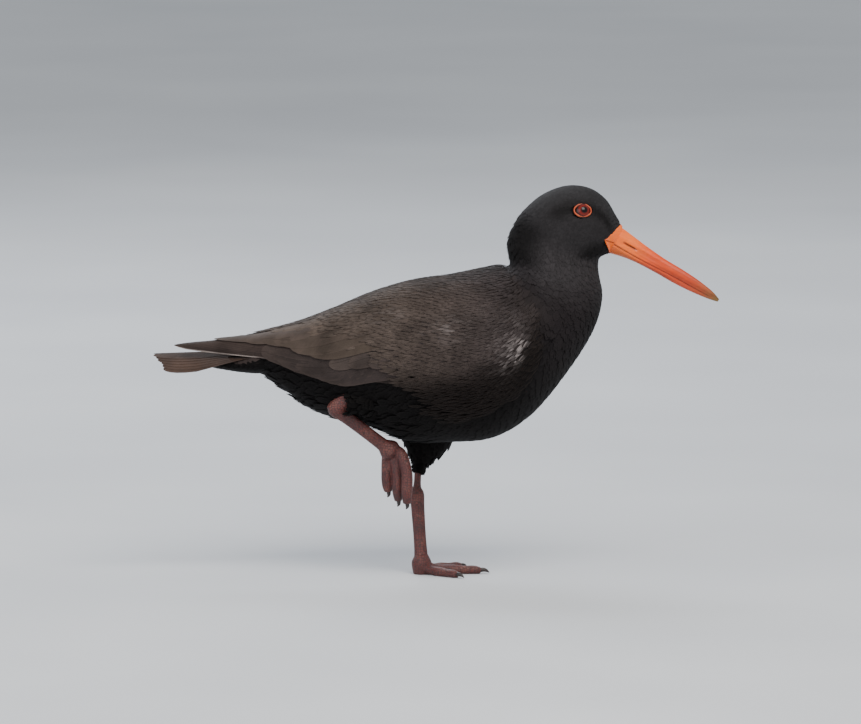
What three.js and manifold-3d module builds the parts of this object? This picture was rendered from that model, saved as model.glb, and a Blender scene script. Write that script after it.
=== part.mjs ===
// A sooty oystercatcher, life size, standing on its left foot with the right one lifted.
// Millimetres, +Z up, +X towards the bill, +Y to the bird's left.
// The body is one loft: each rib is an oval in a plane that holds the Y axis, drawn from a
// point on the back line to a point on the belly line, and the ribs fan round the bend of the
// neck. Wings and feathers are laid on that loft by (rib, angle), with a height above it.

import * as THREE from "three";
import { mergeVertices } from "three/addons/utils/BufferGeometryUtils.js";
import Module from "manifold-3d";

const wasm = await Module();
wasm.setup();

// Sizes shared by all the parts
const GAP = 0.3;
const DEGREE = Math.PI / 180;
const BODY_SIDES = 24;
const STRETCH_STEPS = { torso: 18, neck: 5, head: 15 };
const LEFT = 1;
const RIGHT = -1;

// Ribs from the wing tips forward to the bill: [x, z] on the back, [x, z] on the belly, half width.
// The first three lie behind the torso and only carry the folded wing tips.
const RIBS = [
  { name: "wing tips", back: [-168.0, 149.6], belly: [-168.0, 145.1], half: 11 },
  { name: "wing rear", back: [-145.0, 152.2], belly: [-144.3, 141.3], half: 12.5 },
  { name: "wing end", back: [-120.0, 154.6], belly: [-120.0, 134.8], half: 14.5 },
  { name: "tail root", back: [-106.6, 157.4], belly: [-110.4, 130.3], half: 17 },
  { name: "vent", back: [-86.1, 162.9], belly: [-88.6, 113.6], half: 24 },
  { name: "rump", back: [-63.7, 171.2], belly: [-66.2, 102.4], half: 32 },
  { name: "hips", back: [-40.0, 180.9], belly: [-43.2, 96.8], half: 39 },
  { name: "flank", back: [-15.0, 188.2], belly: [-18.2, 87.0], half: 44 },
  { name: "belly", back: [8.6, 191.6], belly: [9.9, 86.0], half: 46.5 },
  { name: "fore belly", back: [26.6, 195.2], belly: [36.8, 89.0], half: 46.5 },
  { name: "crop", back: [38.1, 197.7], belly: [61.1, 103.8], half: 44 },
  { name: "breast", back: [44.2, 198.6], belly: [84.2, 131.6], half: 40 },
  { name: "upper breast", back: [46.4, 199.7], belly: [100.2, 157.4], half: 34.5 },
  { name: "neck base", back: [46.7, 201.8], belly: [106.1, 178.6], half: 28.5 },
  { name: "neck", back: [46.4, 205.3], belly: [103.7, 195.4], half: 25 },
  { name: "upper neck", back: [45.4, 210.2], belly: [104.0, 203.7], half: 23 },
  { name: "nape", back: [45.8, 216.0], belly: [107.2, 206.3], half: 22 },
  { name: "hind head", back: [49.0, 224.4], belly: [109.1, 206.9], half: 21.5 },
  { name: "hind crown", back: [55.8, 234.8], belly: [110.1, 207.3], half: 21 },
  { name: "crown", back: [67.6, 245.1], belly: [110.5, 207.5], half: 20.3 },
  { name: "fore crown", back: [83.0, 250.8], belly: [110.9, 207.6], half: 18.8 },
  { name: "brow", back: [97.4, 249.4], belly: [111.2, 207.7], half: 16.2 },
  { name: "forehead", back: [108.1, 242.2], belly: [111.2, 207.8], half: 13 },
  { name: "lore", back: [114.3, 232.4], belly: [110.9, 207.9], half: 9.4 },
  { name: "bill base", back: [119.2, 224.4], belly: [110.1, 208.0], half: 6.4 },
];
const LAST_RIB = RIBS.length - 1;
const ribNumber = (name) => RIBS.findIndex((rib) => rib.name === name);
const TAIL_ROOT = ribNumber("tail root");
const NECK_BASE = ribNumber("neck base");
const NAPE = ribNumber("nape");
const PEAR = 0.05;

// Eye: its place on the head by rib and angle, the ball, and the bare ring of the lids
const EYE = { rib: 20.12, angle: 69.5 * DEGREE, radius: 6.2, depth: 4.3 };
const LIDS = { long: 5.4, tall: 3.75, thick: 0.85, steps: 14, sides: 5 };

// Bill, in its own frame: along is measured from the gape side, height across the bill
const BILL_ORIGIN = new THREE.Vector3(111, 0, 216);
const BILL_DROOP = 30 * DEGREE;
const BILL_STATIONS = [
  { along: 2.2, top: 10.4, mouth: -0.6, chin: -8, half: 6.5 },
  { along: 8, top: 9.9, mouth: -0.8, chin: -6.6, half: 5.8 },
  { along: 15, top: 9, mouth: -0.9, chin: -5.1, half: 5 },
  { along: 24, top: 7.9, mouth: -0.9, chin: -4.2, half: 4.2 },
  { along: 36, top: 6.9, mouth: -0.4, chin: -3.8, half: 3.4 },
  { along: 48, top: 6.6, mouth: 0, chin: -3.8, half: 2.8 },
  { along: 58, top: 6.1, mouth: 0.1, chin: -3.3, half: 2.3 },
  { along: 67, top: 5.1, mouth: 0.2, chin: -2.4, half: 1.8 },
  { along: 74, top: 3.8, mouth: 0.4, chin: -1.4, half: 1.3 },
  { along: 79.3, top: 1.9, mouth: 0.8, chin: -0.2, half: 0.7 },
];
const NOSTRIL = { along: 12.8, height: 3.2, long: 5.4, tall: 0.55, deep: 2.6, side: 5.4 };

// Folded wing: the stretch of ribs it covers, the angles of its upper and lower edges there,
// and how high its middle stands off the body
const WING_EDGE = [
  { rib: 2.3, upper: 16, lower: 90, crown: 0.9 },
  { rib: 3.2, upper: 13, lower: 96, crown: 1.2 },
  { rib: 4.5, upper: 10, lower: 100, crown: 1.6 },
  { rib: 6, upper: 9, lower: 104, crown: 2.2 },
  { rib: 7.5, upper: 12, lower: 99, crown: 2.7 },
  { rib: 9, upper: 22, lower: 95, crown: 2.9 },
  { rib: 10.2, upper: 38, lower: 94, crown: 2.4 },
  { rib: 11, upper: 58, lower: 91, crown: 1.7 },
  { rib: 11.4, upper: 70, lower: 84, crown: 1.0 },
];
const WING = { rim: 0.4, inner: -2.5, steps: 9, columns: 4 };
const VANE_THICK = 0.7;

// Tail: a core with the tail coverts, and a roof of twelve feathers, widest at the tip
const TAIL = { root: -104, tip: -181, rootZ: 145, tipZ: 142.6, drop: 7, halfSpread: 24, roundness: 1.4 };
const RECTRICES = { pairs: 6, layer: 0.85, halfWidth: 6.8, shorter: 5, hidden: 8 };
const TAIL_CORE_SIDES = 16;

// Legs: joints as points, thicknesses as half sizes fore-and-aft and across
const STANDING = {
  hip: new THREE.Vector3(-4, 17, 96),
  knee: new THREE.Vector3(-12, 11, 64),
  ankle: new THREE.Vector3(-12.6, 8.5, 51),
  foot: new THREE.Vector3(-9.6, 3, 7.2),
  heel: 4.7,
};
const LIFTED = {
  hip: new THREE.Vector3(-30, -24, 124),
  bend: new THREE.Vector3(-54.5, -26.4, 117.2),
  ankle: new THREE.Vector3(-64.4, -27, 110.6),
  foot: new THREE.Vector3(-29.5, -14, 82),
  heel: 5.4,
};
const TARSUS = { fore: 4.1, across: 3.2, steps: 10, sides: 10 };
const PALM = { sizes: [7.4, 6.5, 5.4], turn: 50 * DEGREE };
const PAD = { top: 5, foot: -8, sizes: [[4.6, 4.3], [6.4, 6.2], [5.2, 5.2]] };

const TO_THE_LEFT = new THREE.Vector3(0, 1, 0);
const NO_FLOOR = -1e3;

// Smooth line through values: the three numbers of each point are interpolated together
function line(points) {
  return new THREE.CatmullRomCurve3(points, false, "catmullrom", 0.5);
}

const backLine = line(RIBS.map((rib) => new THREE.Vector3(rib.back[0], 0, rib.back[1])));
const bellyLine = line(RIBS.map((rib) => new THREE.Vector3(rib.belly[0], 0, rib.belly[1])));
const halfLine = line(RIBS.map((rib) => new THREE.Vector3(rib.half, 0, 0)));

// Point of the body at a rib and an angle: 0 on the back, a quarter turn on the left side
function bodyOval(rib, angle) {
  const share = THREE.MathUtils.clamp(rib / LAST_RIB, 0, 1);
  const back = backLine.getPoint(share);
  const belly = bellyLine.getPoint(share);
  const half = halfLine.getPoint(share).x;
  const centre = back.clone().add(belly).multiplyScalar(0.5);
  const arm = back.sub(belly).multiplyScalar(0.5);
  const point = centre.addScaledVector(arm, Math.cos(angle));
  point.y = half * Math.sin(angle) * (1 + PEAR * Math.cos(angle));
  return point;
}

function bodyNormal(rib, angle) {
  const step = 0.02;
  const low = Math.max(rib - step, 0);
  const high = Math.min(rib + step, LAST_RIB);
  const along = bodyOval(high, angle).sub(bodyOval(low, angle));
  const around = bodyOval(rib, angle + step).sub(bodyOval(rib, angle - step));
  return along.cross(around).normalize();
}

function bodyPoint(rib, angle, lift = 0) {
  const point = bodyOval(rib, angle);
  return lift ? point.addScaledVector(bodyNormal(rib, angle), lift) : point;
}

// Interpolates the named numbers of a list of stations, by the key that orders them
function stationAt(stations, key, value) {
  const first = stations[0];
  const last = stations[stations.length - 1];
  if (value <= first[key]) return first;
  if (value >= last[key]) return last;
  const next = stations.findIndex((station) => station[key] > value);
  const low = stations[next - 1];
  const high = stations[next];
  const share = THREE.MathUtils.smootherstep(value, low[key], high[key]) * 0.5
    + ((value - low[key]) / (high[key] - low[key])) * 0.5;
  const mixed = {};
  for (const name of Object.keys(low)) mixed[name] = THREE.MathUtils.lerp(low[name], high[name], share);
  return mixed;
}

// A closed loft through rings of points, each end closed by a fan about its middle
function loft(rings) {
  const sides = rings[0].length;
  const points = rings.flat();
  const faces = [];
  for (let i = 0; i + 1 < rings.length; i++) {
    for (let j = 0; j < sides; j++) {
      const a = i * sides + j;
      const b = i * sides + ((j + 1) % sides);
      faces.push(a, b, a + sides, b, b + sides, a + sides);
    }
  }
  const middle = (ring) => ring.reduce((sum, p) => sum.add(p), new THREE.Vector3()).divideScalar(sides);
  points.push(middle(rings[0]), middle(rings[rings.length - 1]));
  const start = points.length - 2;
  const end = (rings.length - 1) * sides;
  for (let j = 0; j < sides; j++) {
    const next = (j + 1) % sides;
    faces.push(start, next, j, start + 1, end + j, end + next);
  }
  return geometryOf(points, faces);
}

// A closed plate between an outer and an inner face, both split into triangles the same way
function plate(outer, inner, steps, columns) {
  const points = [];
  for (const face of [outer, inner]) {
    for (let i = 0; i <= steps; i++) {
      for (let j = 0; j <= columns; j++) points.push(face(i / steps, j / columns));
    }
  }
  const row = columns + 1;
  const other = (steps + 1) * row;
  const faces = [];
  for (let i = 0; i < steps; i++) {
    for (let j = 0; j < columns; j++) {
      const a = i * row + j;
      faces.push(a, a + row, a + 1, a + 1, a + row, a + row + 1);
      faces.push(other + a, other + a + 1, other + a + row);
      faces.push(other + a + 1, other + a + row + 1, other + a + row);
    }
  }
  const rim = [];
  for (let j = 0; j < columns; j++) rim.push(j);
  for (let i = 0; i < steps; i++) rim.push(i * row + columns);
  for (let j = columns; j > 0; j--) rim.push(steps * row + j);
  for (let i = steps; i > 0; i--) rim.push(i * row);
  rim.forEach((a, k) => {
    const b = rim[(k + 1) % rim.length];
    faces.push(a, b, other + a, b, other + b, other + a);
  });
  return geometryOf(points, faces);
}

function geometryOf(points, faces) {
  const geometry = new THREE.BufferGeometry().setFromPoints(points);
  geometry.setIndex(faces);
  return geometry;
}

// Solid of a closed geometry, turned right side out, with collapsed triangles dropped
function solid(geometry) {
  const bare = geometry.clone();
  bare.deleteAttribute("normal");
  bare.deleteAttribute("uv");
  const merged = mergeVertices(bare, 1e-4);
  const index = merged.index.array;
  const kept = [];
  for (let i = 0; i < index.length; i += 3) {
    const [a, b, c] = [index[i], index[i + 1], index[i + 2]];
    if (a !== b && b !== c && c !== a) kept.push(a, b, c);
  }
  const make = () =>
    new wasm.Manifold(
      new wasm.Mesh({
        numProp: 3,
        vertProperties: merged.attributes.position.array,
        triVerts: new Uint32Array(kept),
      }),
    );
  const made = make();
  if (made.volume() > 0) return made;
  for (let i = 0; i < kept.length; i += 3) [kept[i + 1], kept[i + 2]] = [kept[i + 2], kept[i + 1]];
  return make();
}

const join = (solids) => solids.reduce((sum, next) => sum.add(next));
const cut = (from, ...tools) => tools.reduce((rest, tool) => rest.subtract(tool), from);

// The largest closed surface of a solid: drops loose scraps and fills what fusing sealed
function largest(body) {
  const pieces = body.decompose();
  return pieces.reduce((best, piece) => (piece.volume() > best.volume() ? piece : best));
}

function meshOf(name, body, material) {
  const made = largest(body).getMesh();
  const geometry = new THREE.BufferGeometry();
  geometry.setAttribute("position", new THREE.BufferAttribute(made.vertProperties, made.numProp));
  geometry.setIndex(new THREE.BufferAttribute(made.triVerts, 1));
  geometry.computeVertexNormals();
  const mesh = new THREE.Mesh(geometry, material);
  mesh.name = name;
  return mesh;
}

// Stretch of the body between two ribs, its flat ends drawn back by half the gap
function bodyStretch(from, to, steps, grow = 0) {
  const rings = [];
  for (let i = 0; i <= steps; i++) {
    const rib = THREE.MathUtils.lerp(from, to, i / steps);
    const ring = [];
    for (let j = 0; j < BODY_SIDES; j++) ring.push(bodyPoint(rib, (j / BODY_SIDES) * 2 * Math.PI, grow));
    rings.push(ring);
  }
  for (const [end, next] of [[0, 1], [steps, steps - 1]]) {
    const normal = ringNormal(rings[end]);
    if (normal.dot(rings[next][0].clone().sub(rings[end][0])) < 0) normal.negate();
    rings[end].forEach((point) => point.addScaledVector(normal, GAP / 2 - grow));
  }
  return solid(loft(rings));
}

function ringNormal(ring) {
  const quarter = Math.floor(ring.length / 4);
  const first = ring[quarter].clone().sub(ring[0]);
  return first.cross(ring[2 * quarter].clone().sub(ring[0])).normalize();
}

// A limb: ovals carried along a line, with half sizes fore-and-aft and across at each point
function limb(path, sizes, { steps, sides = 8, across = TO_THE_LEFT, grow = 0, floor = NO_FLOOR }) {
  const route = line(path);
  const spread = line(sizes.map(([fore, side]) => new THREE.Vector3(fore, side, 0)));
  const rings = [];
  for (let i = 0; i <= steps; i++) {
    const share = i / steps;
    const centre = route.getPoint(share);
    const tangent = route.getTangent(share);
    if (i === 0) centre.addScaledVector(tangent, -grow);
    if (i === steps) centre.addScaledVector(tangent, grow);
    const side = across.clone().addScaledVector(tangent, -across.dot(tangent)).normalize();
    const fore = side.clone().cross(tangent);
    const size = spread.getPoint(share);
    const ring = [];
    for (let j = 0; j < sides; j++) {
      const angle = ((j + 0.5) / sides) * 2 * Math.PI;
      const point = centre
        .clone()
        .addScaledVector(fore, (size.x + grow) * Math.cos(angle))
        .addScaledVector(side, (size.y + grow) * Math.sin(angle));
      point.z = Math.max(point.z, floor);
      ring.push(point);
    }
    rings.push(ring);
  }
  return solid(loft(rings));
}

// A ball stretched to three half sizes, turned about the Y axis
function ball(centre, [x, y, z], turn = 0, grow = 0, around = 12) {
  const geometry = new THREE.SphereGeometry(1, around, Math.round(around * 0.7));
  geometry.scale(x + grow, y + grow, z + grow);
  geometry.rotateY(turn);
  geometry.translate(centre.x, centre.y, centre.z);
  return solid(geometry);
}

// Feather outlines: shares of the length, with the share of the full width there
const ROUND_VANE = [[0, 0.62], [0.45, 0.96], [0.8, 0.92], [1, 0.3]];
const LONG_VANE = [[0, 0.6], [0.35, 0.92], [0.7, 1], [0.92, 0.68], [1, 0.22]];

// How high the wing's fleshy part stands off the body at a rib and an angle in degrees
function wingHeight(rib, angle) {
  const edge = stationAt(WING_EDGE, "rib", rib);
  const share = THREE.MathUtils.clamp((angle - edge.upper) / (edge.lower - edge.upper), 0, 1);
  return edge.crown * (WING.rim + (1 - WING.rim) * Math.pow(Math.sin(Math.PI * share), 0.6));
}

// A vane on the wing, from a root to a tip given as rib and angle. It rises from below the
// wing's surface to above it, and leans so that its lower edge rides over the feather below.
function vane({ root, tip, half, rise, tilt = 0.5, outline = ROUND_VANE, columns = 1, side }) {
  const steps = outline.length - 1;
  const face = (height) => (along, acrossShare) => {
    const [reach, width] = outline[Math.round(along * steps)];
    const across = 2 * acrossShare - 1;
    const rib = THREE.MathUtils.lerp(root[0], tip[0], reach);
    const angle = THREE.MathUtils.lerp(root[1], tip[1], reach) * DEGREE;
    const perRadian = bodyOval(rib, angle + 0.05).distanceTo(bodyOval(rib, angle - 0.05)) / 0.1;
    const turn = (across * half * width) / perRadian;
    const base = wingHeight(rib, (angle + turn) / DEGREE);
    const lift = base + THREE.MathUtils.lerp(rise[0], rise[1], reach) + tilt * across * width;
    return bodyPoint(rib, side * (angle + turn), lift + height);
  };
  return solid(plate(face(VANE_THICK / 2), face(-VANE_THICK / 2), steps, columns));
}

// The fleshy part of the wing, with the small feathers: a crowned plate on the torso's side
function wingCore(side) {
  const first = WING_EDGE[0].rib;
  const last = WING_EDGE[WING_EDGE.length - 1].rib;
  const place = (height) => (along, share) => {
    const rib = THREE.MathUtils.lerp(first, last, along);
    const edge = stationAt(WING_EDGE, "rib", rib);
    const angle = THREE.MathUtils.lerp(edge.upper, edge.lower, share);
    return bodyPoint(rib, side * angle * DEGREE, height(rib, angle));
  };
  return solid(plate(place(wingHeight), place(() => WING.inner), WING.steps, WING.columns));
}

// Rows of wing feathers, lowest tier first. Each row steps evenly from its first feather to its
// last: half widths in mm, roots and tips as [rib, angle], and the rise from root to tip.
const WING_ROWS = [
  {
    name: "primaries", count: 4, half: [5.6, 6.4], outline: LONG_VANE, rise: [-0.5, 0.7], tilt: 0.4,
    root: [[4.6, 88], [4.2, 62]], tip: [[0.02, 64], [1.25, 40]],
  },
  {
    name: "secondaries", count: 4, half: [7, 7.2], outline: LONG_VANE, rise: [-0.6, 0.8], tilt: 0.45,
    root: [[7.4, 86], [5.6, 80]], tip: [[5.0, 103], [2.7, 82]],
  },
  {
    name: "tertials", count: 4, half: [8.4, 7.4], outline: LONG_VANE, rise: [-0.4, 1.7], tilt: 0.6,
    columns: 2, root: [[7.8, 62], [7.2, 24]], tip: [[4.4, 70], [1.1, 34]],
  },
  {
    name: "greater coverts", count: 7, half: [7.4, 8.4], outline: ROUND_VANE, rise: [-0.7, 1.5],
    root: [[10.6, 82], [6.9, 72]], tip: [[9.8, 90], [5.2, 84]],
  },
  {
    name: "median coverts", count: 6, half: [7.2, 8], outline: ROUND_VANE, rise: [-0.5, 1.9],
    root: [[10.7, 70], [7.3, 54]], tip: [[9.9, 76], [6.2, 62]],
  },
  {
    name: "scapulars", count: 5, half: [8.6, 9.8], outline: ROUND_VANE, rise: [-0.4, 2.5],
    root: [[10.6, 54], [7.9, 20]], tip: [[9.4, 58], [5.9, 27]],
  },
];

// A value of a row at a share of the way from its first feather to its last
function rowValue([first, last], share) {
  if (!Array.isArray(first)) return THREE.MathUtils.lerp(first, last, share);
  return first.map((value, k) => THREE.MathUtils.lerp(value, last[k], share));
}

function wingFeathers(side) {
  return WING_ROWS.flatMap(({ count, root, tip, half, rise, tilt, outline, columns }) =>
    Array.from({ length: count }, (_, k) => {
      const at = (pair) => rowValue(pair, k / (count - 1));
      return vane({ root: at(root), tip: at(tip), half: at(half), rise, tilt, outline, columns, side });
    }),
  );
}

// Everything on one side of the bird's middle plane, kept half the gap away from it
function halfSpace(side) {
  const big = 600;
  return solid(new THREE.BoxGeometry(big, big, big).translate(0, side * (big / 2 + GAP / 2), 0));
}

// The tail's middle line, and the roof that falls away on both sides of it
function tailHeight(x, y) {
  const share = (x - TAIL.root) / (TAIL.tip - TAIL.root);
  const middle = THREE.MathUtils.lerp(TAIL.rootZ, TAIL.tipZ, share);
  const fall = Math.pow(Math.abs(y) / TAIL.halfSpread, TAIL.roundness);
  return middle - TAIL.drop * fall * THREE.MathUtils.clamp(share * 1.6, 0.3, 1);
}

// One tail feather: the middle pair lies on top, and each next pair below it and further out
function rectrix(pair, side) {
  const share = pair / (RECTRICES.pairs - 1);
  const rootY = side * (1.5 + 7 * share);
  const tipY = side * (3.6 + (TAIL.halfSpread - 10) * share);
  const tipX = TAIL.tip + RECTRICES.shorter * share;
  const drop = RECTRICES.layer * (pair + (side === RIGHT ? 0.5 : 0));
  const steps = LONG_VANE.length - 1;
  const face = (height) => (along, acrossShare) => {
    const [reach, width] = LONG_VANE[Math.round(along * steps)];
    const across = 2 * acrossShare - 1;
    const x = THREE.MathUtils.lerp(TAIL.root - RECTRICES.hidden, tipX, reach);
    const y = THREE.MathUtils.lerp(rootY, tipY, reach) + across * width * RECTRICES.halfWidth;
    return new THREE.Vector3(x, y, tailHeight(x, y) - drop + height);
  };
  return solid(plate(face(VANE_THICK / 2), face(-VANE_THICK / 2), steps, 1));
}

// Tail core: rump end, upper and under tail coverts, flattening to the feathers' roots
function tailCore() {
  const stations = [
    { x: -101, z: 141.5, tall: 11.5, half: 16 },
    { x: -112, z: 139.2, tall: 9.2, half: 16 },
    { x: -122, z: 138.0, tall: 7.4, half: 16 },
    { x: -133, z: 137.6, tall: 5.4, half: 15.5 },
    { x: -143, z: 137.8, tall: 3.6, half: 14 },
    { x: -150, z: 138.6, tall: 1.6, half: 11 },
  ];
  const rings = stations.map(({ x, z, tall, half }) =>
    Array.from({ length: TAIL_CORE_SIDES }, (_, j) => {
      const angle = (j / TAIL_CORE_SIDES) * 2 * Math.PI;
      return new THREE.Vector3(x, half * Math.sin(angle), z + tall * Math.cos(angle));
    }),
  );
  return solid(loft(rings));
}

// The room that the folded wings take over the tail's root, from the wing tips to the vent
const WING_ROOM = { lastRib: 4.2, narrow: 90, wide: 130, height: 12, steps: 8, columns: 16 };
function wingRoom() {
  const place = (lift) => (along, share) => {
    const widest = THREE.MathUtils.lerp(WING_ROOM.narrow, WING_ROOM.wide, along) * DEGREE;
    return bodyPoint(WING_ROOM.lastRib * along, THREE.MathUtils.lerp(-widest, widest, share), lift);
  };
  const floor = place(WING.inner - GAP);
  return solid(plate(place(WING_ROOM.height), floor, WING_ROOM.steps, WING_ROOM.columns));
}

// The bill's own frame: along it and across it, in the bird's middle plane
function billPoint(along, y, height) {
  return new THREE.Vector3(
    BILL_ORIGIN.x + along * Math.cos(BILL_DROOP) + height * Math.sin(BILL_DROOP),
    y,
    BILL_ORIGIN.z - along * Math.sin(BILL_DROOP) + height * Math.cos(BILL_DROOP),
  );
}

// Half of the bill above or below the line of the mouth: a half oval with a flat mouth side
function mandible(upper) {
  const arc = 8;
  const way = upper ? 1 : -1;
  const rings = BILL_STATIONS.map(({ along, top, mouth, chin, half }) => {
    const floor = mouth + (way * GAP) / 2;
    const tall = (upper ? top : chin) - floor;
    return Array.from({ length: arc + 1 }, (_, j) => {
      const angle = (j / arc) * Math.PI;
      const keel = Math.pow(Math.sin(angle), 0.85);
      return billPoint(along, half * Math.cos(angle) * (upper ? 1 : 0.9), floor + tall * keel);
    });
  });
  return solid(loft(rings));
}

function eyeCentre(side) {
  return bodyPoint(EYE.rib, side * EYE.angle, -EYE.depth);
}

// The lids: an oval ring on the head's surface, around the ball
function lids(side) {
  const centre = bodyPoint(EYE.rib, side * EYE.angle, 0.35);
  const out = bodyNormal(EYE.rib, side * EYE.angle);
  const forward = new THREE.Vector3(1, 0, 0).addScaledVector(out, -out.x).normalize();
  const up = out.clone().cross(forward).multiplyScalar(side).negate();
  const rings = [];
  for (let i = 0; i < LIDS.steps; i++) {
    const turn = (i / LIDS.steps) * 2 * Math.PI;
    const spoke = forward.clone().multiplyScalar(Math.cos(turn) * LIDS.long);
    spoke.addScaledVector(up, Math.sin(turn) * LIDS.tall);
    const outward = spoke.clone().normalize();
    rings.push(
      Array.from({ length: LIDS.sides }, (_, j) => {
        const angle = (j / LIDS.sides) * 2 * Math.PI;
        return centre
          .clone()
          .add(spoke)
          .addScaledVector(outward, LIDS.thick * Math.cos(angle))
          .addScaledVector(out, LIDS.thick * Math.sin(angle));
      }),
    );
  }
  const sides = LIDS.sides;
  const faces = [];
  for (let i = 0; i < LIDS.steps; i++) {
    const next = (i + 1) % LIDS.steps;
    for (let j = 0; j < sides; j++) {
      const k = (j + 1) % sides;
      faces.push(i * sides + j, i * sides + k, next * sides + j);
      faces.push(i * sides + k, next * sides + k, next * sides + j);
    }
  }
  return solid(geometryOf(rings.flat(), faces));
}

// Feathered thigh of the standing leg: a cone out of the belly, drawn down to the bare shank
const THIGH_SIZES = [[20, 15], [13, 10], [4.8, 4.5], [3.0, 2.9]];
function thigh(grow = 0) {
  const { hip, knee } = STANDING;
  const middle = hip.clone().lerp(knee, 0.45);
  const low = hip.clone().lerp(knee, 0.8);
  return limb([hip, middle, low, knee], THIGH_SIZES, { steps: 6, sides: 12, grow });
}

// Bare shank: a thin stretch that widens where it meets the ankle
const SHANK_SIZES = [[2.3, 2.2], [2.3, 2.1], [3.4, 3.0]];
function standingShank(grow = 0) {
  const { knee, ankle } = STANDING;
  const start = knee.clone().add(new THREE.Vector3(0.4, 0.4, 4));
  const end = ankle.clone().add(new THREE.Vector3(0, 0, 3.2));
  return limb([start, knee.clone().lerp(end, 0.5), end], SHANK_SIZES, { steps: 5, grow });
}

// Lifted shank: thick, bent down out of the flank feathers to the heel
const LIFTED_SHANK_SIZES = [[5.5, 5], [6, 4.8], [5.2, 4.4]];
function liftedShank() {
  const { hip, bend, ankle } = LIFTED;
  return limb([hip, bend, ankle], LIFTED_SHANK_SIZES, { steps: 6 });
}

// Tarsus: from the knobbed ankle to where the toes begin
function tarsus({ ankle, foot, heel }, floor, grow) {
  const span = foot.clone().sub(ankle);
  const { fore, across, steps, sides } = TARSUS;
  const stations = [
    { share: -0.11, size: [2.6, 2.2] },
    { share: 0, size: [heel, heel - 0.3] },
    { share: 0.2, size: [fore + 0.3, across + 0.2] },
    { share: 0.55, size: [fore, across] },
    { share: 0.85, size: [fore + 0.2, across + 0.3] },
    { share: 1, size: [fore + 1.1, across + 1.6] },
  ];
  const path = stations.map(({ share }) => ankle.clone().addScaledVector(span, share));
  const sizes = stations.map(({ size }) => size);
  return limb(path, sizes, { steps, sides, grow, floor });
}

// The standing tarsus ends in a pad that spreads on the floor, the lifted one in a loose palm
function standingTarsus(grow = 0) {
  const { foot } = STANDING;
  const at = (height) => foot.clone().add(new THREE.Vector3(0, 0, height));
  const options = { steps: 5, sides: TARSUS.sides, grow, floor: 0 };
  return join([tarsus(STANDING, 0, grow), limb([at(PAD.top), foot, at(PAD.foot)], PAD.sizes, options)]);
}

function liftedTarsus(grow = 0) {
  return join([tarsus(LIFTED, NO_FLOOR, grow), ball(LIFTED.foot, PALM.sizes, PALM.turn, grow)]);
}

// Toes on the floor run at a heading from the pad; hanging ones are lists of joints
const STANDING_TOES = [
  { name: "inner", heading: -40, long: 30, thick: 2.9 },
  { name: "middle", heading: 2, long: 38, thick: 3.1 },
  { name: "outer", heading: 40, long: 33, thick: 3.0 },
];
const LIFTED_ROOT = [-27.5, -13.4, 82];
const LIFTED_TOES = [
  {
    name: "inner", thick: 3.4,
    joints: [[-31, -12, 79], [-32, -12, 69], [-31.6, -11.4, 60], [-30.8, -10.8, 55]],
  },
  {
    name: "middle", thick: 3.35,
    joints: [[-27, -14, 77], [-25.4, -15.6, 66], [-25, -15.4, 56], [-24.4, -14.6, 49.5]],
  },
  {
    name: "outer", thick: 3.6,
    joints: [[-22.5, -16, 79], [-17.2, -19.6, 68], [-17.6, -20.2, 57], [-18.6, -19.6, 48.5]],
  },
];
const CLAW = { standing: 5.5, lifted: 3.6, steps: 3, sides: 6 };

// The way a standing toe points, the way across it, and its start on the floor
function toeFrame(heading) {
  const way = new THREE.Vector3(Math.cos(heading * DEGREE), Math.sin(heading * DEGREE), 0);
  const side = new THREE.Vector3(-way.y, way.x, 0);
  const base = new THREE.Vector3(STANDING.foot.x, STANDING.foot.y, 0);
  return { side, at: (reach, height) => base.clone().addScaledVector(way, reach).setZ(height) };
}

// Standing toe: nearly straight on the floor, with the swellings of its joint pads
const STANDING_PADS = [
  { share: 0.05, height: 4.2, swell: 1.3 },
  { share: 0.3, height: 3.1, swell: 1.02 },
  { share: 0.5, height: 2.7, swell: 1.16 },
  { share: 0.7, height: 2.5, swell: 0.95 },
  { share: 0.88, height: 2.3, swell: 1.02 },
  { share: 1, height: 2.0, swell: 0.72 },
];
function standingToe({ heading, long, thick }, grow = 0) {
  const { side, at } = toeFrame(heading);
  const path = STANDING_PADS.map(({ share, height }) => at(share * long, height));
  const sizes = STANDING_PADS.map(({ swell }) => [thick * swell * 0.95, thick * swell]);
  return limb(path, sizes, { steps: 8, across: side, grow, floor: 0 });
}

function standingClaw({ heading, long }) {
  const { side, at } = toeFrame(heading);
  const reach = CLAW.standing;
  const path = [at(long + 0.5, 2.0), at(long + reach * 0.5, 2.0), at(long + reach, 0.9)];
  const { steps, sides } = CLAW;
  return limb(path, [[1.5, 1.4], [1.2, 1.0], [0.35, 0.35]], { steps, sides, across: side, floor: 0 });
}

// Lifted toe: hangs loosely from the palm, its joints hardly swollen
const LIFTED_SIDE = new THREE.Vector3(0.33, 0.94, 0);
const LIFTED_SWELLS = [1.2, 1.12, 1.0, 1.02, 0.74];
function liftedToe({ joints, thick }, grow = 0) {
  const path = [LIFTED_ROOT, ...joints].map((joint) => new THREE.Vector3(...joint));
  const sizes = LIFTED_SWELLS.map((share) => [thick * share, thick * share * 0.9]);
  return limb(path, sizes, { steps: 8, across: LIFTED_SIDE, grow });
}

function liftedClaw({ joints }) {
  const tip = new THREE.Vector3(...joints[joints.length - 1]);
  const at = (x, z) => tip.clone().add(new THREE.Vector3(x, 0, z));
  const { lifted, steps, sides } = CLAW;
  const path = [at(0, -0.5), at(0.2, -lifted * 0.5), at(-0.6, -lifted)];
  return limb(path, [[1.4, 1.2], [1.1, 1.0], [0.3, 0.3]], { steps, sides, across: LIFTED_SIDE });
}

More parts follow.
